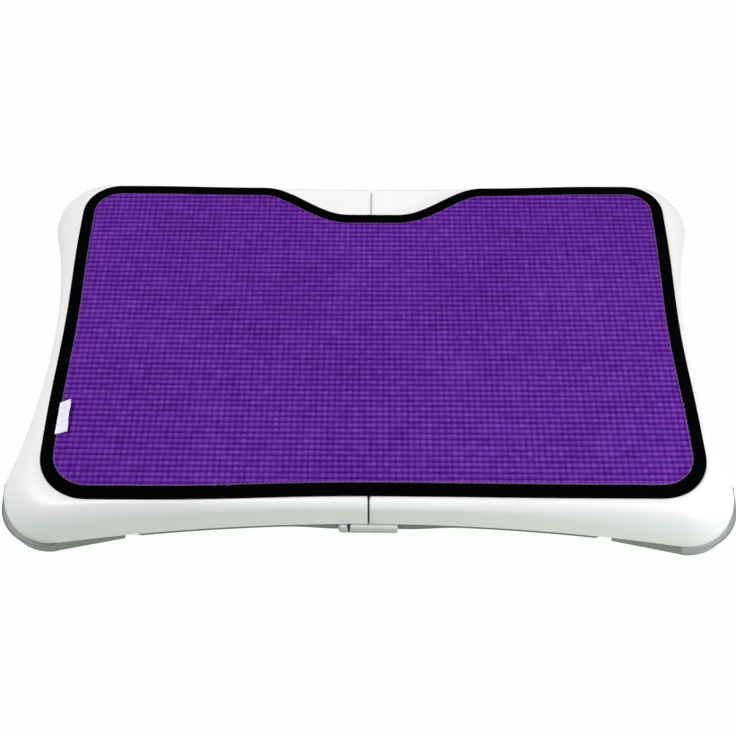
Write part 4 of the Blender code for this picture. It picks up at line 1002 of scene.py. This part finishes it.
# ---------------------------------------------------------------- mat: outline
def mat_outline(step=1.0):
    """Counter-clockwise, slightly waisted, with a wide notch in the back edge."""
    def bow(t):
        return 0.5 * (1 + math.cos(math.pi * max(-1, min(1, t))))

    def flank(s, y):
        half = (MAT_HX_BACK - MAT_BOW_BACK * bow(y / 95.0)) if y > 0 else (MAT_HX_FRONT - MAT_BOW_FRONT * bow(y / 85.0))
        return MAT_CX + MAT_SKEW * max(0.0, -y / 100.0) ** 1.5 + s * half

    def front(x):
        reach, depth, _ = MAT_Y_FRONT[1 if x > 0 else -1]
        return -reach + depth * bow(x / 150.0)

    def back(x):
        reach = MAT_Y_BACK[1 if x > 0 else -1][0]
        shoulder = MAT_SHOULDER + (reach - MAT_SHOULDER) * float(smoothstep((abs(x) - 90) / 90))
        return shoulder - NOTCH_DEEP * (1 - float(smoothstep((abs(x - NOTCH_X) - NOTCH_FLAT) / NOTCH_SLOPE)))

    def corner(s, t, n=40):
        reach, r = MAT_Y_BACK[s] if t > 0 else MAT_Y_FRONT[s][::2]
        cy = t * (reach - r)
        cx = flank(s, cy) - s * r
        arc = [(cx + s * r * math.cos(math.radians(90 * i / n)), cy + t * r * math.sin(math.radians(90 * i / n)))
               for i in range(n + 1)]
        return arc if s * t > 0 else arc[::-1]

    br, bl, fl, fr = corner(1, 1), corner(-1, 1), corner(-1, -1), corner(1, -1)
    pts = [(flank(1, y), y) for y in np.linspace(fr[-1][1], br[0][1], 120)[1:-1]] + br
    pts += [(x, back(x)) for x in np.linspace(br[-1][0], bl[0][0], 400)[1:-1]] + bl
    pts += [(flank(-1, y), y) for y in np.linspace(bl[-1][1], fl[0][1], 120)[1:-1]] + fl
    pts += [(x, front(x)) for x in np.linspace(fl[-1][0], fr[0][0], 300)[1:-1]] + fr
    return resampled(np.array(pts), step)


MAT = smoothed(mat_outline(1.6), 6)
MAT_AREA = 0.5 * abs(float(np.sum(MAT[:, 0] * np.roll(MAT[:, 1], -1) - np.roll(MAT[:, 0], -1) * MAT[:, 1])))


# -------------------------------------------------------------------- mat: pad
def mat_pad():
    hem = 7.4                                  # the pad ends this far inside the outline, under the binding
    edge = offset(MAT, -hem)
    sub = 4
    nx, ny = 2 * int(232.0 / WEAVE_X + 1), 2 * int(147.0 / WEAVE_Y + 1)
    gx, gy = nx * sub + 1, ny * sub + 1
    i, j = np.arange(gx), np.arange(gy)
    ci, cj = i / sub - nx / 2, j / sub - ny / 2
    # rows wander a little along the mat, and columns step sideways from row to row
    row_drift = 0.42 * lattice((gy, gx), (34, 110), 5) + 0.16 * lattice((gy, gx), (9, 30), 6)
    col_drift = 0.30 * lattice((gy, gx), (60, 40), 7) + 0.24 * lattice((gy, gx), (5, 3.2), 8)
    X = MAT_CX + ci[None, :] * WEAVE_X + col_drift
    Y = cj[:, None] * WEAVE_Y + row_drift
    groove = np.array([1.0, 0.30, 0.0, 0.30])
    gu, gv = groove[i % sub][None, :], groove[j % sub][:, None]
    strength = 0.85 + 0.25 * lattice((gy, gx), (9, 5), 9)     # the grooves across the rows come and go
    row_strength = 0.92 + 0.12 * lattice((gy, gx), (8, 12), 10)
    cell = np.random.RandomState(11).uniform(-1, 1, (ny + 1, nx + 1))
    lift = cell[np.minimum(j // sub, ny)][:, np.minimum(i // sub, nx)]
    crown = (1 - gu) * (1 - gv)
    Z = PAD_Z1 + 0.12 + 0.14 * lift * crown - 1.15 * gv * row_strength - 0.72 * gu * strength * (1 - 0.5 * gv)
    # relief sets the cloth colour: grooves painted dark as shade, crowns and lifted cells painted lighter
    relief = np.clip(1.0 - 0.78 * gv * row_strength - 0.42 * gu * strength + 0.16 * lift * crown, 0, 1)
    P = np.stack([X, Y, np.broadcast_to(Z, X.shape)], -1).reshape(-1, 3)
    rel = np.broadcast_to(relief, X.shape).reshape(-1)
    keep = inside(edge, P[:, :2])
    idx = (j[:-1, None] * gx + i[None, :-1]).reshape(-1)
    quads = np.stack([idx, idx + 1, idx + gx + 1, idx + gx], 1)
    quads = quads[keep[quads].all(1)]
    used = np.unique(quads)
    remap = -np.ones(len(P), int)
    remap[used] = np.arange(len(used))
    P, rel, quads = P[used], rel[used], remap[quads]
    # boundary edges, in order, give the side wall and the underside
    a = np.concatenate([quads[:, [k, (k + 1) % 4]] for k in range(4)])
    fwd = {(int(p), int(q)) for p, q in a}
    rim = {p: q for p, q in fwd if (q, p) not in fwd}
    start = next(iter(sorted(rim)))
    loop = [start]
    while rim[loop[-1]] != start:
        loop.append(rim[loop[-1]])
    loop = np.array(loop)
    n0 = len(P)
    wall = P[loop].copy()
    wall[:, 2] = MAT_Z0 + 0.05
    P[loop, 2] = np.minimum(P[loop, 2], 55.4)
    verts = np.vstack([P, wall]) * MM
    faces = [tuple(map(int, q)) for q in quads]
    m = len(loop)
    for k in range(m):
        q = (k + 1) % m
        faces.append((int(loop[q]), int(loop[k]), n0 + k, n0 + q))
    faces.append(tuple(n0 + k for k in reversed(range(m))))
    me = bpy.data.meshes.new("mat_pad")
    me.from_pydata(verts.tolist(), [], faces)
    att = me.attributes.new("relief", 'FLOAT', 'POINT')
    att.data.foreach_set("value", np.concatenate([rel, np.full(m, 0.35)]).astype(np.float32))
    me.update()
    me.shade_smooth()
    me.set_sharp_from_angle(angle=math.radians(60))
    ob = bpy.data.objects.new("mat_cloth", me)
    scene.collection.objects.link(ob)
    paint(ob, WEAVE)
    return ob


def mat_binding():
    """Folded black tape round the edge: rounded section, slightly puckered at the seam."""
    section = [(0.02, 54.6), (0.0, 54.1), (0.35, 53.62), (1.1, 53.5), (4.5, 53.5), (8.6, 53.5), (9.1, 53.9), (9.35, 54.6),
               (9.50, 55.35), (9.42, 55.95), (8.95, 56.28), (8.25, 56.42), (7.2, 56.62), (5.5, 56.78), (3.6, 56.80),
               (2.0, 56.62), (0.95, 56.20), (0.30, 55.55)]
    n = len(MAT)
    nrm = normals(MAT)
    sway, swell, pucker = wander(n, 26, 21), wander(n, 12, 22), np.cos(2 * np.pi * np.arange(n) / 2.0)
    rings = []
    for d, z in section:
        top = max(0.0, (z - 54.6) / 2.2)
        dd = d + sway * 0.14 * (d / BIND_W) * top + 0.05 * pucker * (1 if 7.7 < d < 9.4 and top else 0)
        zz = z + top * (0.07 * swell + (0.05 * pucker if 6.7 < d < 9.4 else 0))
        p = MAT - nrm * np.broadcast_to(dd, (n,))[:, None]
        rings.append([(x, y, h) for (x, y), h in zip(p, np.broadcast_to(zz, (n,)))])
    ob = to_object(skin(rings, None, False, True), "mat_edge_binding", 50)
    paint(ob, BINDING)
    return ob


def edge_thread():
    """The row of stitches along the inner edge of the binding."""
    pitch, half, wide, high = 3.3, 1.55, 0.46, 0.30
    line = resampled(offset(MAT, -BIND_W - 0.22), pitch)
    n = len(line)
    bm = bmesh.new()
    rs = np.random.RandomState(31)
    for k in range(n):
        t = line[(k + 1) % n] - line[k - 1]
        t = t / np.linalg.norm(t)
        s = np.array([-t[1], t[0]])
        turn = rs.uniform(-0.05, 0.05)
        t, s = t + s * turn, s - t * turn
        c = line[k]
        rings = []
        for u, r in ((-1.0, 0.25), (-0.72, 0.8), (0.0, 1.0), (0.72, 0.8), (1.0, 0.25)):
            arch = 56.02 + 0.16 * (1 - u * u)
            ring = []
            for q in range(6):
                a = 2 * math.pi * q / 6
                xy = c + t * (half * u) + s * (wide * r * math.cos(a))
                ring.append((xy[0], xy[1], arch + high * r * math.sin(a)))
            rings.append(ring)
        skin(rings, bm)
    ob = to_object(bm, "mat_edge_stitches", 60)
    paint(ob, THREAD)
    return ob


def mat_tab():
    """A blank folded label sewn under the binding on the left, its free edge standing up a little."""
    y0, y1, rows, thick = -93.8, -67.3, 22, 0.32
    out = [(-217.8, 56.3), (-216.5, 56.75), (-215.0, 57.3), (-213.5, 58.15), (-212.0, 59.1), (-210.8, 59.85)]
    tip = [(-210.15, 60.15), (-209.85, 59.95), (-210.05, 59.6)]
    under = [(-211.0, 59.2), (-212.3, 58.4), (-213.8, 57.4), (-215.3, 56.7), (-216.8, 56.25), (-217.8, 55.95)]
    mid = out + tip + under
    m = np.array(mid)
    d = np.gradient(m, axis=0)
    d /= np.linalg.norm(d, axis=1)[:, None]
    nn = np.stack([-d[:, 1], d[:, 0]], 1)
    loop = np.vstack([m + nn * thick / 2, (m - nn * thick / 2)[::-1]])
    rings = []
    for k in range(rows + 1):
        f = k / rows
        y = y0 + (y1 - y0) * f
        droop = -0.5 * (1 - f) ** 2 + 0.25 * math.sin(6.0 * f) * 0.5
        ring = []
        for x, z in loop:
            reach = max(0.0, (x + 217.8) / 7.5)
            ring.append((x + 0.18 * math.sin(9 * f) * reach + 0.9 * (1 - f) * reach, y + 0.3 * reach,
                         z + droop * reach * 1.2 + 0.12 * math.sin(14 * f) * reach))
        rings.append(ring)
    ob = to_object(skin(rings), "mat_label_tab", 50)
    paint(ob, TAB)
    return ob


pad, binding, stitches, tab = mat_pad(), mat_binding(), edge_thread(), mat_tab()
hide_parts("mat_pad")
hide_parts("mat_binding")
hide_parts("mat_tab")
for ob, name in ((pad, "mat_purple"), (binding, "binding_black"), (stitches, "mat_purple"), (tab, "tab_white")):
    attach(ob, "mat")
float(np.ptp(MAT[:, 0])) * MM
float(np.ptp(MAT[:, 1])) * MM


# ------------------------------------------------------- materials of CAD nodes
FINISH = {
    "bottom_cover": BASE, "battery_cover": BASE, "battery_box": BAY, "foot_pad": RUBBER, "foot_bolt": ZINC,
    "cell_bolt": ZINC, "cover_screw": ZINC, "board_screw": ZINC, "foot_": FOOT, "load_cell": ALLOY, "chassis": STEEL,
    "battery_cell": SLEEVE, "contact_strip": NICKEL, "sync_button": SYNC, "main_board": PCB, "wireless_module": PCB,
    "power_switch_board": PCB, "shield_can": TIN, "power_button": BUTTON, "led_lens": LENS_MAT, "load_lead": LEAD,
    "switch_lead": LEAD, "light_shield": RUBBER, "top_cover": COVER, "mat_pad": WEAVE, "mat_binding": BINDING, "mat_tab": TAB,
}
for name, ob in NODES.items():
    found = max((k for k in FINISH if name.startswith(k)), key=len)
    paint(ob, FINISH[found])

# ----------------------------------------------------------------- light, floor
world = bpy.data.worlds.new("soft_white")
scene.world = world
world.use_nodes = True
world.node_tree.nodes["Background"].inputs["Color"].default_value = (0.97, 1.0, 0.98, 1)
world.node_tree.nodes["Background"].inputs["Strength"].default_value = 0.02


def soft_light(name, at, aim, size, power, colour=(1, 1, 1)):
    data = bpy.data.lights.new(name, 'AREA')
    data.shape, data.size, data.energy, data.color = 'DISK', size, power, colour
    ob = bpy.data.objects.new(name, data)
    scene.collection.objects.link(ob)
    ob.location = at
    ob.rotation_euler = (Vector(aim) - Vector(at)).to_track_quat('-Z', 'Y').to_euler()
    ob.visible_camera = False
    return ob


soft_light("overhead", (0.5, -0.2, 2.2), (0, 0, 0), 2.4, 9)
soft_light("overhead_left", (-0.8, -0.2, 2.0), (0, 0, 0), 1.6, 44)
soft_light("back", (0.0, 2.0, 1.2), (0, 0, 0), 1.4, 13)
soft_light("front_right", (0.50, -0.55, 0.30), (0.1, 0, 0), 0.35, 1.05)
soft_light("right", (0.75, -0.25, 0.30), (0.1, 0, 0), 0.35, 2.3)
soft_light("right_back", (0.75, 0.35, 0.45), (0.1, 0, 0), 0.40, 0.7)

bm = bmesh.new()
bmesh.ops.create_grid(bm, x_segments=8, y_segments=8, size=6000)
floor = to_object(bm, "floor", None)
k = Mat("floor_white", (0.02, 0.02, 0.02), 1.0)
k.b.inputs["Specular IOR Level"].default_value = 0.0
k.b.inputs["Emission Strength"].default_value = 1.02
k.link(k.ramp(k.noise(2.0, 2.0), (0.3, (0.942, 1.0, 0.936)), (0.7, (0.946, 1.0, 0.94))), k.b.inputs["Emission Color"])
paint(floor, k.m)
bm = bmesh.new()
bmesh.ops.create_uvsphere(bm, u_segments=48, v_segments=24, radius=20000)
backdrop = to_object(bm, "backdrop", 60)
paint(backdrop, k.m)
backdrop.visible_diffuse = backdrop.visible_glossy = backdrop.visible_transmission = backdrop.visible_shadow = False

scene.view_settings.view_transform = 'Standard'
scene.view_settings.look = 'None'

bpy.context.view_layer.update()
